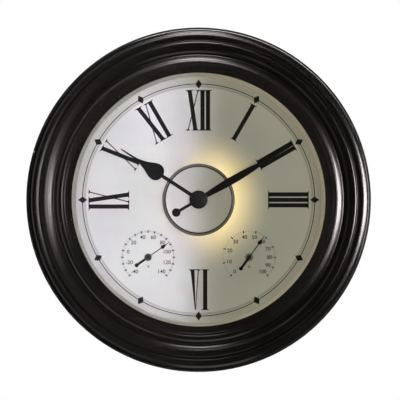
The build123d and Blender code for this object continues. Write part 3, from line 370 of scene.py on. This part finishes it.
finishes = {
    "bronze": bronze_finish(),
    "case_black": moulded("case_black", *case_black, **{"Specular IOR Level": 0.25}),
    "white": white_finish(),
    "dial": dial_finish(),
    "disc": disc_finish(),
    "ink": ink_finish("ink", (0.0050, 0.0048, 0.0046), (0.0120, 0.0115, 0.0110)),
    "grey_ink": ink_finish("grey_ink", (0.022, 0.021, 0.021), (0.045, 0.043, 0.043)),
    "glass": glass_finish(),
    "hand_enamel": enamel_finish("hand_enamel", (0.0048, 0.0046, 0.0045), (0.0100, 0.0095, 0.0092), 0.30),
    "hub_gloss": enamel_finish("hub_gloss", (0.0045, 0.0045, 0.0045), (0.0090, 0.0088, 0.0085), 0.42),
    "thermometer_boss": hub_finish("thermometer_boss", -1, (0.060, 0.060, 0.050)),
    "hygrometer_boss": hub_finish("hygrometer_boss", 1, (0.012, 0.011, 0.011)),
    "hygrometer_needle": pointer_finish("hygrometer_needle", 1, hygrometer_angle, (0.33, 0.27, 0.26)),
    "winding": winding_finish(),
    "circuit": board_finish(),
    "lamp": lamp_finish(),
    "floor": floor_finish(),
}
finishes.update({name: moulded(name, *look) for name, look in moulded_finishes.items()})
finishes.update({name: metal(name, *look) for name, look in metal_finishes.items()})


# Mesh tools
def parts_of(faces, kind):
    """The corners ("verts") or edges ("edges") of some faces, each once and always in the same order."""
    return list(dict.fromkeys(part for face in faces for part in getattr(face, kind)))


def box_into(bm, x_low, x_high, y_low, y_high, z_low, z_high, material=0):
    made = bmesh.ops.create_cube(bm, size=1)["verts"]
    bmesh.ops.scale(bm, vec=(x_high - x_low, y_high - y_low, z_high - z_low), verts=made)
    middle = ((x_low + x_high) / 2, (y_low + y_high) / 2, (z_low + z_high) / 2)
    bmesh.ops.translate(bm, vec=middle, verts=made)
    for face in {face for vert in made for face in vert.link_faces}:
        face.material_index = material
    return made


def turned_edge(edge):
    return len(edge.link_faces) == 2 and edge.calc_face_angle() > math.radians(24)


def turned_into(bm, profile, steps, closed=True, place=Matrix(), material=0, soften=0.0):
    """Spins a section, given as (radius, level) pairs, about the z axis, and rounds its edges by soften."""
    before = set(bm.faces)

    def new_faces():
        return [face for face in bm.faces if face not in before]

    verts = [bm.verts.new((radius, 0, level)) for radius, level in profile]
    ends = list(zip(verts, verts[1:])) + ([(verts[-1], verts[0])] if closed else [])
    edges = [bm.edges.new(pair) for pair in ends]
    bmesh.ops.spin(
        bm, geom=verts + edges, cent=(0, 0, 0), axis=(0, 0, 1), angle=2 * math.pi, steps=steps, use_merge=True
    )
    bmesh.ops.remove_doubles(bm, verts=parts_of(new_faces(), "verts"), dist=0.0005)
    bmesh.ops.recalc_face_normals(bm, faces=new_faces())
    if soften:
        rims = [edge for edge in parts_of(new_faces(), "edges") if turned_edge(edge)]
        bmesh.ops.bevel(
            bm, geom=rims, offset=soften, segments=3, profile=0.5, affect="EDGES", material=-1
        )
        bmesh.ops.remove_doubles(bm, verts=parts_of(new_faces(), "verts"), dist=0.01)
    faces = new_faces()
    for face in faces:
        face.material_index = material
    bmesh.ops.transform(bm, matrix=place, verts=parts_of(faces, "verts"))


def arc(first, middle, last, steps):
    """Points of the arc through three (radius, level) points, without its ends."""
    (ax, ay), (bx, by), (cx, cy) = first, middle, last
    twice = 2 * (ax * (by - cy) + bx * (cy - ay) + cx * (ay - by))
    a, b, c = ax * ax + ay * ay, bx * bx + by * by, cx * cx + cy * cy
    x = (a * (by - cy) + b * (cy - ay) + c * (ay - by)) / twice
    y = (a * (cx - bx) + b * (ax - cx) + c * (bx - ax)) / twice
    radius = math.hypot(ax - x, ay - y)
    start, mid, end = (math.atan2(v - y, u - x) for u, v in (first, middle, last))
    turn = (end - start + math.pi) % (2 * math.pi) - math.pi
    if (mid - start) * turn < 0 and abs(mid - start) < math.pi:
        turn -= math.copysign(2 * math.pi, turn)
    angles = [start + turn * step / steps for step in range(1, steps)]
    return [(x + radius * math.cos(t), y + radius * math.sin(t)) for t in angles]


def lean_on_wide_faces(mesh):
    """Shades each corner by its widest faces, so that a softened edge leaves the flats beside it flat."""
    flow = [Vector() for _ in mesh.vertices]
    for polygon in mesh.polygons:
        for vertex in polygon.vertices:
            flow[vertex] += polygon.normal * polygon.area ** 2
    mesh.normals_split_custom_set_from_vertices([direction.normalized() for direction in flow])


def finish_piece(name, bm, materials, body, replaced=(), smooth=35, even=False):
    """Hangs a drawn piece, smooth where its faces meet under the given angle, and gives it its finishes."""
    mesh = bpy.data.meshes.new(name)
    bm.to_mesh(mesh)
    bm.free()
    mesh.transform(hang)
    for material in materials:
        mesh.materials.append(finishes[material])
    mesh.polygons.foreach_set("use_smooth", [True] * len(mesh.polygons))
    mesh.set_sharp_from_angle(angle=math.radians(smooth))
    if even:
        lean_on_wide_faces(mesh)
    piece = bpy.data.objects.new(name, mesh)
    bpy.context.scene.collection.objects.link(piece)
    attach(piece, body)
    if replaced:
        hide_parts(*replaced)


def smooth_copy(node, name, material, body):
    """A CAD piece with its loose triangles joined, so that its round faces shade smoothly."""
    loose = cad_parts[node].data.copy()
    loose.attributes.remove(loose.attributes["custom_normal"])
    bm = bmesh.new()
    bm.from_mesh(loose)
    bpy.data.meshes.remove(loose)
    bmesh.ops.remove_doubles(bm, verts=bm.verts, dist=1e-6)
    bmesh.ops.transform(bm, matrix=hang.inverted(), verts=bm.verts)
    finish_piece(name, bm, [material], body, [node], 30)


def make_bezel():
    """The moulded ring, as (radius, level) points from the glass outwards and back along its inside."""
    crest, shoulder, valley = (181.5, 56.0), (188.4, 54.1), (192.2, 51.9)
    brow, crease = (207.0, 60.08), (210.1, 55.87)
    bead, rim = (217.43, 58.7), (225.7, 50.7)
    # Lip over the glass, and two small steps
    profile = [(168.0, 46.5), (168.0, 50.9), (177.3, 51.5), (177.3, 54.1), (180.4, 54.1), (180.4, 54.9)]
    # Inner bead, and the valley beside it
    profile += [(180.7, 55.6), crest] + arc(crest, (185.2, 55.6), shoulder, 10)
    profile += [shoulder, (191.4, 51.9), valley]
    # Ovolo, and the step down from its brow
    profile += arc(valley, (199.15, 57.85), brow, 18)
    profile += [brow, (207.8, 59.9), (208.4, 59.4), (208.8, 58.6)]
    # Outer bead
    profile += [crease] + arc(crease, (213.9, 58.11), bead, 10)
    profile += [bead] + arc(bead, (223.2, 56.3), rim, 14)
    # Skirt, and the inside back to the lip
    profile += [rim, (225.7, 41.7), (223.1, 41.7), (223.1, 49.17), (207.5, 51.5), (205.5, 54.9)]
    profile += [(192.2, 49.3), (184.2, 50.9), (177.2, 49.1), (177.2, 37.4), (174.6, 37.4), (174.6, 46.5)]
    bm = bmesh.new()
    turned_into(bm, profile, 256, soften=0.4)
    finish_piece("bezel_moulding", bm, ["bronze"], "case", ["bezel"], 180, even=True)


def make_spacer():
    """The white ring between dial and glass: foot, sloping wall and top flange."""
    profile = [(164.3, 24.0), (173.0, 24.0), (173.0, 25.6), (167.9, 25.6), (169.5, 41.8), (174.0, 41.8)]
    profile += [(174.0, 43.4), (167.7, 43.4)]
    bm = bmesh.new()
    turned_into(bm, profile, 192)
    finish_piece("spacer_wall", bm, ["white"], "case", ["spacer_ring"])


def make_lamp_disc():
    """The raised disc with its sloping rim, on three hollow posts."""
    profile = [(5.5, 32.4), (5.5, 30.6), (disc_edge, 30.6), (46.5, 28.3), (46.5, 27.2), (48.3, 27.2), (48.3, 29.2)]
    profile += [(disc_edge, 32.4)]
    post = [(1.4, 22.8), (3.0, 22.8), (3.0, 29.2), (4.5, 29.2), (4.5, 30.7), (1.4, 30.7)]
    bm = bmesh.new()
    turned_into(bm, profile, 160, soften=0.22)
    for turn in post_turns:
        turned_into(bm, post, 24, place=Matrix.Translation((*on_circle(post_circle, turn), 0)))
    finish_piece("lamp_disc", bm, ["disc"], "case", ["disc_cap"])


def make_hub_cap():
    """The domed cap over the hands, with a bore for the arbor."""
    rim, top, foot, bore, bore_end = 12.2, 41.8, 37.6, 1.6, 39.8
    edge = foot + 1.4
    profile = [(bore, foot), (rim, foot), (rim, edge)]
    profile += arc((rim, edge), (rim * 0.72, top - 1.30), (0.0, top), 14)
    profile += [(0.0, top), (0.0, bore_end), (bore, bore_end)]
    bm = bmesh.new()
    turned_into(bm, profile, 96, soften=0.25)
    finish_piece("hand_hub", bm, ["hub_gloss"], "minute_works", ["hub_cap"])


# Printing on the dial: thin raised shapes just in front of it
print_low, print_high = 24.01, 24.08
print_middle = (print_low + print_high) / 2
numeral_middle, numeral_half = 119.9, 27.15
thick_width, thin_width, tip_width = 5.6, 1.35, 0.9
serif_height, bracket_height = 0.8, 2.08
thick_serif, thin_serif, thin_bracket = thick_width * 1.9, 5.8, thin_width * 1.4


def stroke(bm, foot, head, foot_width, head_width, low=-numeral_half, high=numeral_half):
    """A slanted stroke: foot and head are the middles of its lower and upper ends."""
    made = bmesh.ops.create_cube(bm, size=1)["verts"]
    for vert in made:
        upper = vert.co.y > 0
        vert.co.x = vert.co.x * (head_width if upper else foot_width) + (head if upper else foot)
        vert.co.y = high if upper else low
        vert.co.z = print_high if vert.co.z > 0 else print_low
    return made


def serif(bm, x, upper, length, width):
    """A hairline across the end of a stroke, with a short bracket into the stroke."""
    side = 1 if upper else -1
    edge, inner = side * numeral_half, side * (numeral_half - serif_height)
    bracket = side * (numeral_half - bracket_height)
    hairline = stroke(bm, x, x, length, length, min(edge, inner), max(edge, inner))
    if upper:
        return hairline + stroke(bm, x, x, width, length * 0.72, bracket, inner)
    return hairline + stroke(bm, x, x, length * 0.72, width, inner, bracket)


def letter_i(bm, x):
    made = stroke(bm, x, x, thick_width, thick_width)
    for upper in (False, True):
        made += serif(bm, x, upper, thick_serif, thick_width)
    return made


def letter_x(bm, x):
    thick_foot, thin_foot, thin_head = x + 8.0, x - 2.0, x + 11.5
    made = stroke(bm, thick_foot, x, thick_width, thick_width)
    made += stroke(bm, thin_foot, thin_head, thin_width, thin_width)
    made += serif(bm, thick_foot, False, thick_serif, thick_width)
    made += serif(bm, x, True, thick_serif, thick_width)
    made += serif(bm, thin_foot, False, thin_serif, thin_bracket)
    return made + serif(bm, thin_head, True, thin_serif, thin_bracket)


def letter_v(bm, x):
    thick_foot, thin_foot, thin_head = x + 3.7, x + 4.1, x + 7.9
    made = stroke(bm, thick_foot, x, tip_width, thick_width * 0.96)
    made += stroke(bm, thin_foot, thin_head, tip_width, thin_width)
    made += serif(bm, x, True, thick_serif, thick_width)
    return made + serif(bm, thin_head, True, thin_serif, thin_bracket)


# Each hour with its letters and, for each, how far the head of its thick stroke is right of the numeral's middle
numerals = {
    1: ((letter_i, 0.0),),
    2: ((letter_i, -3.64), (letter_i, 3.64)),
    3: ((letter_i, -7.28), (letter_i, 0.0), (letter_i, 7.28)),
    6: ((letter_v, -8.2), (letter_i, 8.75)),
    9: ((letter_i, -8.9), (letter_x, -0.75)),
    10: ((letter_x, -4.75),),
    11: ((letter_x, -8.6), (letter_i, 8.75)),
    12: ((letter_x, -12.15), (letter_i, 5.2), (letter_i, 12.55)),
}


def make_numerals():
    """Every numeral stands with its feet towards the middle, but for the six, which stands upright."""
    bm = bmesh.new()
    for hour, letters in numerals.items():
        made = [vert for letter, x in letters for vert in letter(bm, x)]
        turn = 0 if hour == 6 else -30 * hour
        reach = -numeral_middle if hour == 6 else numeral_middle
        place = Matrix.Rotation(math.radians(turn), 4, "Z") @ Matrix.Translation((0, reach, 0))
        bmesh.ops.transform(bm, matrix=place, verts=made)
    finish_piece("roman_numerals", bm, ["ink"], "case")


def make_track():
    """A thin ring with a diamond at each hour."""
    diamond_circle, diamond_half_width, diamond_half_length, diamond_lift = 155.0, 4.47, 6.14, 0.02
    inner, outer = 154.5, 155.65
    bm = bmesh.new()
    ring = [(inner, print_low), (outer, print_low), (outer, print_high), (inner, print_high)]
    turned_into(bm, ring, 240)
    size = (diamond_half_width, diamond_half_length, print_high - print_low + diamond_lift)
    for hour in range(12):
        turn = Matrix.Rotation(math.radians(30 * hour), 3, "Z")
        made = bmesh.ops.create_cone(bm, cap_ends=True, segments=4, radius1=1, radius2=1, depth=1)["verts"]
        bmesh.ops.scale(bm, vec=size, verts=made)
        bmesh.ops.translate(bm, vec=(0, diamond_circle, print_middle), verts=made)
        bmesh.ops.rotate(bm, cent=(0, 0, 0), matrix=turn, verts=made)
    finish_piece("minute_track", bm, ["ink"], "case")


# Gauge scales: inner end, outer end and width of a tick, and where the figures go
major_tick, minor_tick = (32.7, 36.1, 1.5), (33.5, 35.3, 0.42)
figure_circle, figure_size, long_figure_inset = 27.4, 7.2, 1.5
unit_drop, unit_size = 12.9, 4.4
scale_start, scale_sweep = 225, 270


def tick(bm, centre, angle, sizes, material):
    inner, outer, width = sizes
    made = box_into(bm, inner, outer, -width / 2, width / 2, print_low, print_high, material)
    place = Matrix.Translation((*centre, 0)) @ Matrix.Rotation(math.radians(angle), 4, "Z")
    bmesh.ops.transform(bm, matrix=place, verts=made)


def figure_into(bm, text, x, y, size, material):
    """Printed figures, made a mesh before they are placed."""
    curve = bpy.data.curves.new("figure", "FONT")
    curve.body, curve.size = text, size
    curve.align_x, curve.align_y = "CENTER", "CENTER"
    curve.extrude = (print_high - print_low) / 2
    curve.resolution_u = 3
    curve.offset = 0.10
    holder = bpy.data.objects.new("figure", curve)
    mesh = bpy.data.meshes.new_from_object(holder)
    before = set(bm.verts)
    bm.from_mesh(mesh)
    made = [vert for vert in bm.verts if vert not in before]
    bmesh.ops.translate(bm, vec=(x, y, print_middle), verts=made)
    for face in {face for vert in made for face in vert.link_faces}:
        face.material_index = material
    bpy.data.objects.remove(holder)
    bpy.data.curves.remove(curve)
    bpy.data.meshes.remove(mesh)


def make_scale(name, side, marks, minors, figures, unit):
    """A gauge scale: major ticks at the marks' angles, minor ticks between them, and figures inside."""
    black, grey = 0, 1
    bm = bmesh.new()
    centre = (side * gauge_across, -gauge_below)
    for first, second in zip(marks, marks[1:] + [None]):
        tick(bm, centre, first, major_tick, black)
        for minor in range(1, minors) if second is not None else ():
            tick(bm, centre, first + (second - first) * minor / minors, minor_tick, grey)
    for angle, text in figures:
        across, up = on_circle(figure_circle, angle)
        if len(text) > 2:
            across -= math.copysign(long_figure_inset, across)
        figure_into(bm, text, centre[0] + across, centre[1] + up, figure_size, grey)
    figure_into(bm, unit, centre[0], centre[1] - unit_drop, unit_size, grey)
    finish_piece(name, bm, ["ink", "grey_ink"], "case")


def humidity_angle(tens):
    """The hygrometer's marks crowd together towards 100."""
    share = 1.22 * tens / 10 - 0.22 * tens * tens / 100
    return scale_start - scale_sweep * share


def make_scales():
    degrees = [scale_start - scale_sweep / 18 * index for index in range(19)]
    labels = [(degrees[2 * index], str(-40 + 20 * index)) for index in range(10)]
    make_scale("thermometer_scale", -1, degrees, 5, labels, "°F")
    humidities = [humidity_angle(tens) for tens in range(11)]
    labels = [(angle, str(10 * tens)) for tens, angle in enumerate(humidities)]
    make_scale("hygrometer_scale", 1, humidities, 5, labels, "%")


# Screws: pan heads with a cross recess, facing the wall
def cross_recess(radius, height):
    """A cutter for the cross in a screw head: two tapered blades."""
    half_length, half_width, foot_share = radius * 0.62, radius * 0.11, 0.45
    bm = bmesh.new()
    for turn in (0, 90):
        made = box_into(bm, -half_length, half_length, -half_width, half_width, -height, height * 0.55)
        for vert in made:
            if vert.co.z > 0:
                vert.co.x *= foot_share
        bmesh.ops.rotate(bm, cent=(0, 0, 0), matrix=Matrix.Rotation(math.radians(turn), 3, "Z"), verts=made)
    bmesh.ops.translate(bm, vec=(0, 0, -height), verts=bm.verts)
    return bm


def loose_piece(name, bm):
    mesh = bpy.data.meshes.new(name)
    bm.to_mesh(mesh)
    bm.free()
    piece = bpy.data.objects.new(name, mesh)
    bpy.context.scene.collection.objects.link(piece)
    return piece


def screw_mesh(head, head_height, shank, length):
    """One screw with its seat at level 0 and its head towards the wall."""
    head_side = (head, -head_height * 0.45)
    profile = [(0.0, length), (shank * 0.7, length), (shank, length - shank), (shank, 0.0), (head, 0.0)]
    profile += [head_side] + arc(head_side, (head * 0.72, -head_height * 0.86), (0.0, -head_height), 6)
    profile += [(0.0, -head_height)]
    bm = bmesh.new()
    turned_into(bm, profile, 28, closed=False)
    body = loose_piece("screw", bm)
    cutter = loose_piece("recess", cross_recess(head, head_height))
    cut = body.modifiers.new("recess", "BOOLEAN")
    cut.operation, cut.object, cut.solver = "DIFFERENCE", cutter, "EXACT"
    cut.use_self = True
    result = bpy.data.meshes.new_from_object(body.evaluated_get(bpy.context.evaluated_depsgraph_get()))
    bpy.data.objects.remove(body)
    bpy.data.objects.remove(cutter)
    return result


def make_screws(name, node, places, seat, sizes):
    mesh = screw_mesh(*sizes)
    bm = bmesh.new()
    for index, (x, y) in enumerate(places):
        before = set(bm.verts)
        bm.from_mesh(mesh)
        made = [vert for vert in bm.verts if vert not in before]
        turn = Matrix.Rotation(math.radians(37 * index + 12), 4, "Z")
        bmesh.ops.transform(bm, matrix=Matrix.Translation((x, y, seat)) @ turn, verts=made)
    finish_piece(name, bm, ["zinc"], "case", [node], 30)


def make_all_screws():
    """Places and level of the seats, then head radius, head height, shank radius and length."""
    rim = [on_circle(200.15, turn) for turn in range(15, 375, 60)]
    posts = [on_circle(post_circle, turn) for turn in post_turns]
    plate = [(-13.5, 180.0), (13.5, 180.0)]
    ears = [(side * 37.0, y) for side in (-1, 1) for y in (-94.0, -128.8)]
    make_screws("rim_screws", "case_screws", rim, 20.0, (3.2, 2.2, 1.6, 14.0))
    make_screws("post_screws", "disc_screws", posts, 20.0, (2.6, 1.8, 1.3, 8.0))
    make_screws("plate_screws", "hanger_screws", plate, 2.0, (2.6, 1.7, 1.3, 8.0))
    make_screws("box_screws", "light_box_screws", ears, 18.0, (2.6, 1.8, 1.3, 4.24))


# Cells: a sleeved can with rolled ends, a flat foot and a nub
cell_foot = [(0.0, -25.2), (5.2, -25.2), (5.4, -24.9), (6.3, -24.9), (6.6, -25.1), (6.95, -24.8), (7.0, -24.3)]
cell_sleeve = [(7.0, -24.3), (7.12, -24.2), (7.15, -23.8), (7.15, 22.9), (7.05, 23.4), (6.6, 23.6), (5.9, 23.62)]
cell_crown = [(5.9, 23.62), (5.6, 23.9), (3.2, 24.0), (2.7, 24.1), (2.7, 24.9), (2.4, 25.2), (0.0, 25.2)]


def make_cells(name, node, places):
    """Places are (x, y, level of the axis, letter of the axis to turn about, way of the nub)."""
    bm = bmesh.new()
    for x, y, level, letter, way in places:
        place = Matrix.Translation((x, y, level)) @ Matrix.Rotation(way * math.pi / 2, 4, letter)
        for profile, material in ((cell_foot, 0), (cell_sleeve, 1), (cell_crown, 0)):
            turned_into(bm, profile, 40, closed=False, place=place, material=material)
    bmesh.ops.remove_doubles(bm, verts=bm.verts, dist=0.001)
    finish_piece(name, bm, ["nickel", "sleeve"], "case", [node])


make_bezel()
make_spacer()
make_lamp_disc()
make_hub_cap()
make_numerals()
make_track()
make_scales()
make_all_screws()
make_cells("clock_battery", "clock_cell", [(0, -22.2, 11.15, "Y", 1)])
bays = ((-22.65, 1), (-7.55, -1), (7.55, 1), (22.65, -1))
make_cells("light_batteries", "light_cells", [(x, -89.0, 10.95, "X", way) for x, way in bays])
smooth_copy("rear_case", "case_shell", "case_black", "case")
smooth_copy("lens", "glass_pane", "glass", "case")

# Finishes of the pieces that keep their CAD shape
node_finishes = {
    "lens_gasket": "rubber", "dial_plate": "dial", "hanger_plate": "zinc", "led_board": "circuit", "leds": "lamp",
    "movement_base": "movement_black", "movement_cover": "movement_black", "threaded_bush": "brass",
    "washer": "brass", "hex_nut": "brass", "hour_wheel": "nylon", "motion_wheel": "nylon",
    "minute_arbor": "steel", "centre_wheel": "nylon", "third_wheel": "nylon", "setting_shaft": "nylon",
    "setting_knob": "knob_grey", "rotor": "magnet", "stator": "steel", "coil": "winding", "coil_core": "steel",
    "circuit_board": "circuit", "quartz_crystal": "nickel", "clock_contacts": "nickel",
    "hour_hand": "hand_enamel", "minute_hand": "hand_enamel", "thermometer_can": "case_black",
    "thermometer_coil": "bimetal", "thermometer_arbor": "steel", "thermometer_pointer": "hand_enamel",
    "thermometer_hub": "thermometer_boss", "hygrometer_can": "case_black", "hygrometer_coil": "bimetal",
    "hygrometer_arbor": "steel", "hygrometer_pointer": "hygrometer_needle", "hygrometer_hub": "hygrometer_boss",
    "light_box": "box_black", "light_contacts": "nickel", "battery_door": "box_black",
    "control_board": "circuit", "switch_body": "movement_black", "switch_slider": "knob_grey",
}
for node, finish_name in node_finishes.items():
    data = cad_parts[node].data
    data.materials.clear()
    data.materials.append(finishes[finish_name])


# Studio, in metres. The dial is lit by two narrow daylight strips, which reach only its left part, and a fill.
# The softboxes light nothing: they only shine in the glossy pieces, above all in the moulding.
def soft_light(name, place, aim, size, power, colour):
    lamp = bpy.data.lights.new(name, "AREA")
    lamp.shape, lamp.size, lamp.size_y = "RECTANGLE", *size
    lamp.energy, lamp.color = power, colour
    holder = bpy.data.objects.new(name, lamp)
    holder.location = place
    holder.rotation_euler = (Vector(aim) - Vector(place)).to_track_quat("-Z", "Y").to_euler()
    holder.visible_camera = False
    bpy.context.scene.collection.objects.link(holder)
    return holder


neutral, daylight_tint = (1.0, 1.0, 1.0), (0.87, 0.86, 1.0)
fill_tint, softbox_tint = (1.0, 0.99, 0.70), (1.0, 0.955, 0.97)
strip_distance, strip_height = 2.60, 1.4
moulding_radius = 0.21


def daylight(name, x, width, reach, power):
    """An upright strip in front of the clock whose light falls off to nothing at reach to either side of x."""
    place, aim = (x, -strip_distance, middle_height), (x, 0, middle_height)
    strip = soft_light(name, place, aim, (width, strip_height), power, daylight_tint)
    strip.data.spread = 2 * math.atan(reach / strip_distance)
    strip.visible_glossy = False


daylight("daylight_wide", -0.18, 0.04, 0.21, 0.67)
daylight("daylight_edge", -0.05, 0.02, 0.085, 0.195)
fill = soft_light("fill", (0.30, -2.00, -0.15), (0.05, 0, middle_height), (1.2, 1.2), 13.2, fill_tint)
fill.visible_glossy = False
soft_light("behind", (0.35, 1.60, 0.55), (0.0, 0.0, middle_height), (1.4, 1.4), 17.0, neutral)

# Points that the softboxes are aimed at, as (x, z), and the ways from there to where they stand
middle, right_edge = (0.0, middle_height), (0.22, middle_height)
top_edge, bottom_edge = (0.0, 0.02), (0.05, -0.39)
right, up, down = 0, 90, 270
wide_cone = 180

# Name, aim, angle away from the front, distance, size, power, cone and way. Angles, cones and ways are in degrees.
softboxes = (
    ("side_near", middle, 27, 1.35, (0.42, 0.30), 1.1, wide_cone, right),
    ("side_far", middle, 58, 1.53, (1.15, 0.62), 4.2, wide_cone, right),
    ("side_edge", middle, 84, 1.40, (0.34, 0.50), 0.8, wide_cone, right),
    ("right_near", right_edge, 28, 1.10, (0.20, 0.24), 0.10, 26, right),
    ("right_middle", right_edge, 45, 1.00, (0.34, 0.42), 0.22, 30, right),
    ("right_far", right_edge, 64, 0.95, (0.34, 0.46), 0.17, 20, right),
    ("top_near", top_edge, 20, 1.10, (0.24, 0.20), 0.04, 26, up),
    ("top_middle", top_edge, 45, 1.00, (0.32, 0.30), 0.10, 26, up),
    ("top_far", top_edge, 74, 0.95, (0.34, 0.34), 1.8, wide_cone, up),
    ("right_behind", right_edge, 135, 0.90, (0.40, 0.50), 0.9, wide_cone, right),
    ("top_behind", top_edge, 135, 0.90, (0.60, 0.40), 1.2, wide_cone, up),
    ("bottom", bottom_edge, 57, 0.36, (0.25, 0.28), 0.14, wide_cone, down),
)


def softbox(name, aim, angle, distance, size, power, cone, way):
    away, out = distance * math.sin(math.radians(angle)), -distance * math.cos(math.radians(angle))
    across, above = on_circle(away, way)
    x, z = aim
    holder = soft_light(name, (x + across, out, z + above), (x, 0, z), size, power, softbox_tint)
    holder.data.spread = math.radians(cone)
    holder.visible_diffuse = False


def on_moulding(turn):
    across, above = on_circle(moulding_radius, turn)
    return across, above + middle_height


for box in softboxes:
    softbox(*box)
# Soft sheen round the left half
for turn in range(105, 265, 20):
    softbox(f"sheen_{turn}", on_moulding(turn), 50, 0.60, (0.46, 0.46), 0.011, 25, turn)
# Brighter shine just above and below three o'clock
for turn, power in ((13, 0.052), (-15, 0.017)):
    softbox(f"right_{turn}", on_moulding(turn), 45, 1.00, (0.34, 0.16), power, 24, turn)


def make_floor():
    """A pale floor under the clock, which gives it no light and doesn't show in its shine."""
    floor_middle, half_width, half_depth = (0, -0.75, -0.78), 2.6, 1.35
    bm = bmesh.new()
    bmesh.ops.create_grid(bm, x_segments=8, y_segments=8, size=1)
    place = Matrix.Translation(floor_middle) @ Matrix.Diagonal((half_width, half_depth, 1, 1))
    bmesh.ops.transform(bm, matrix=place, verts=bm.verts)
    floor = loose_piece("floor", bm)
    floor.data.materials.append(finishes["floor"])
    floor.visible_glossy = False
    floor.visible_diffuse = False


def make_world():
    """White to the camera. To the clock it is a dim room, paler up behind on the right and along the right wall."""
    pale_way = (0.45, 0.80, 0.40)
    world = bpy.data.worlds.new("studio")
    world.use_nodes = True
    bpy.context.scene.world = world
    shading = Shading(world.node_tree)
    toward = shading.node("TexCoord", out="Generated")
    facing = shading.node("VectorMath", {"operation": "DOT_PRODUCT"}, {0: toward, 1: pale_way}, out="Value")
    sideways = shading.node("SeparateXYZ", {}, {0: toward}, out="X")
    strength = facing.rise(0.25, 0.95, 0.0, 0.10) + sideways.rise(0.0, 0.35, 0.013, 0.045)
    room = shading.node("Background", {}, {"Color": (1.0, 0.98, 0.96, 1), "Strength": strength})
    seen = shading.node("Background", {}, {"Color": (1, 1, 1, 1)})
    to_camera = shading.node("LightPath", out="Is Camera Ray")
    shading.end("World", shading.node("MixShader", {}, {0: to_camera, 1: room, 2: seen}))


def make_camera():
    """Straight on, a little below the middle, with a long lens."""
    below, distance = math.radians(1.5), 2.954
    aim = Vector((0.00185, -0.048, middle_height - 0.0008))
    data = bpy.data.cameras.new("camera")
    data.sensor_width, data.lens = 36.0, 200.6
    data.clip_start, data.clip_end = 0.05, 20.0
    camera = bpy.data.objects.new("camera", data)
    camera.location = aim + Vector((0, -math.cos(below), -math.sin(below))) * distance
    camera.rotation_euler = (aim - camera.location).to_track_quat("-Z", "Y").to_euler()
    bpy.context.scene.collection.objects.link(camera)
    bpy.context.scene.camera = camera


make_floor()
make_world()
make_camera()
bpy.context.scene.view_settings.view_transform = "Standard"
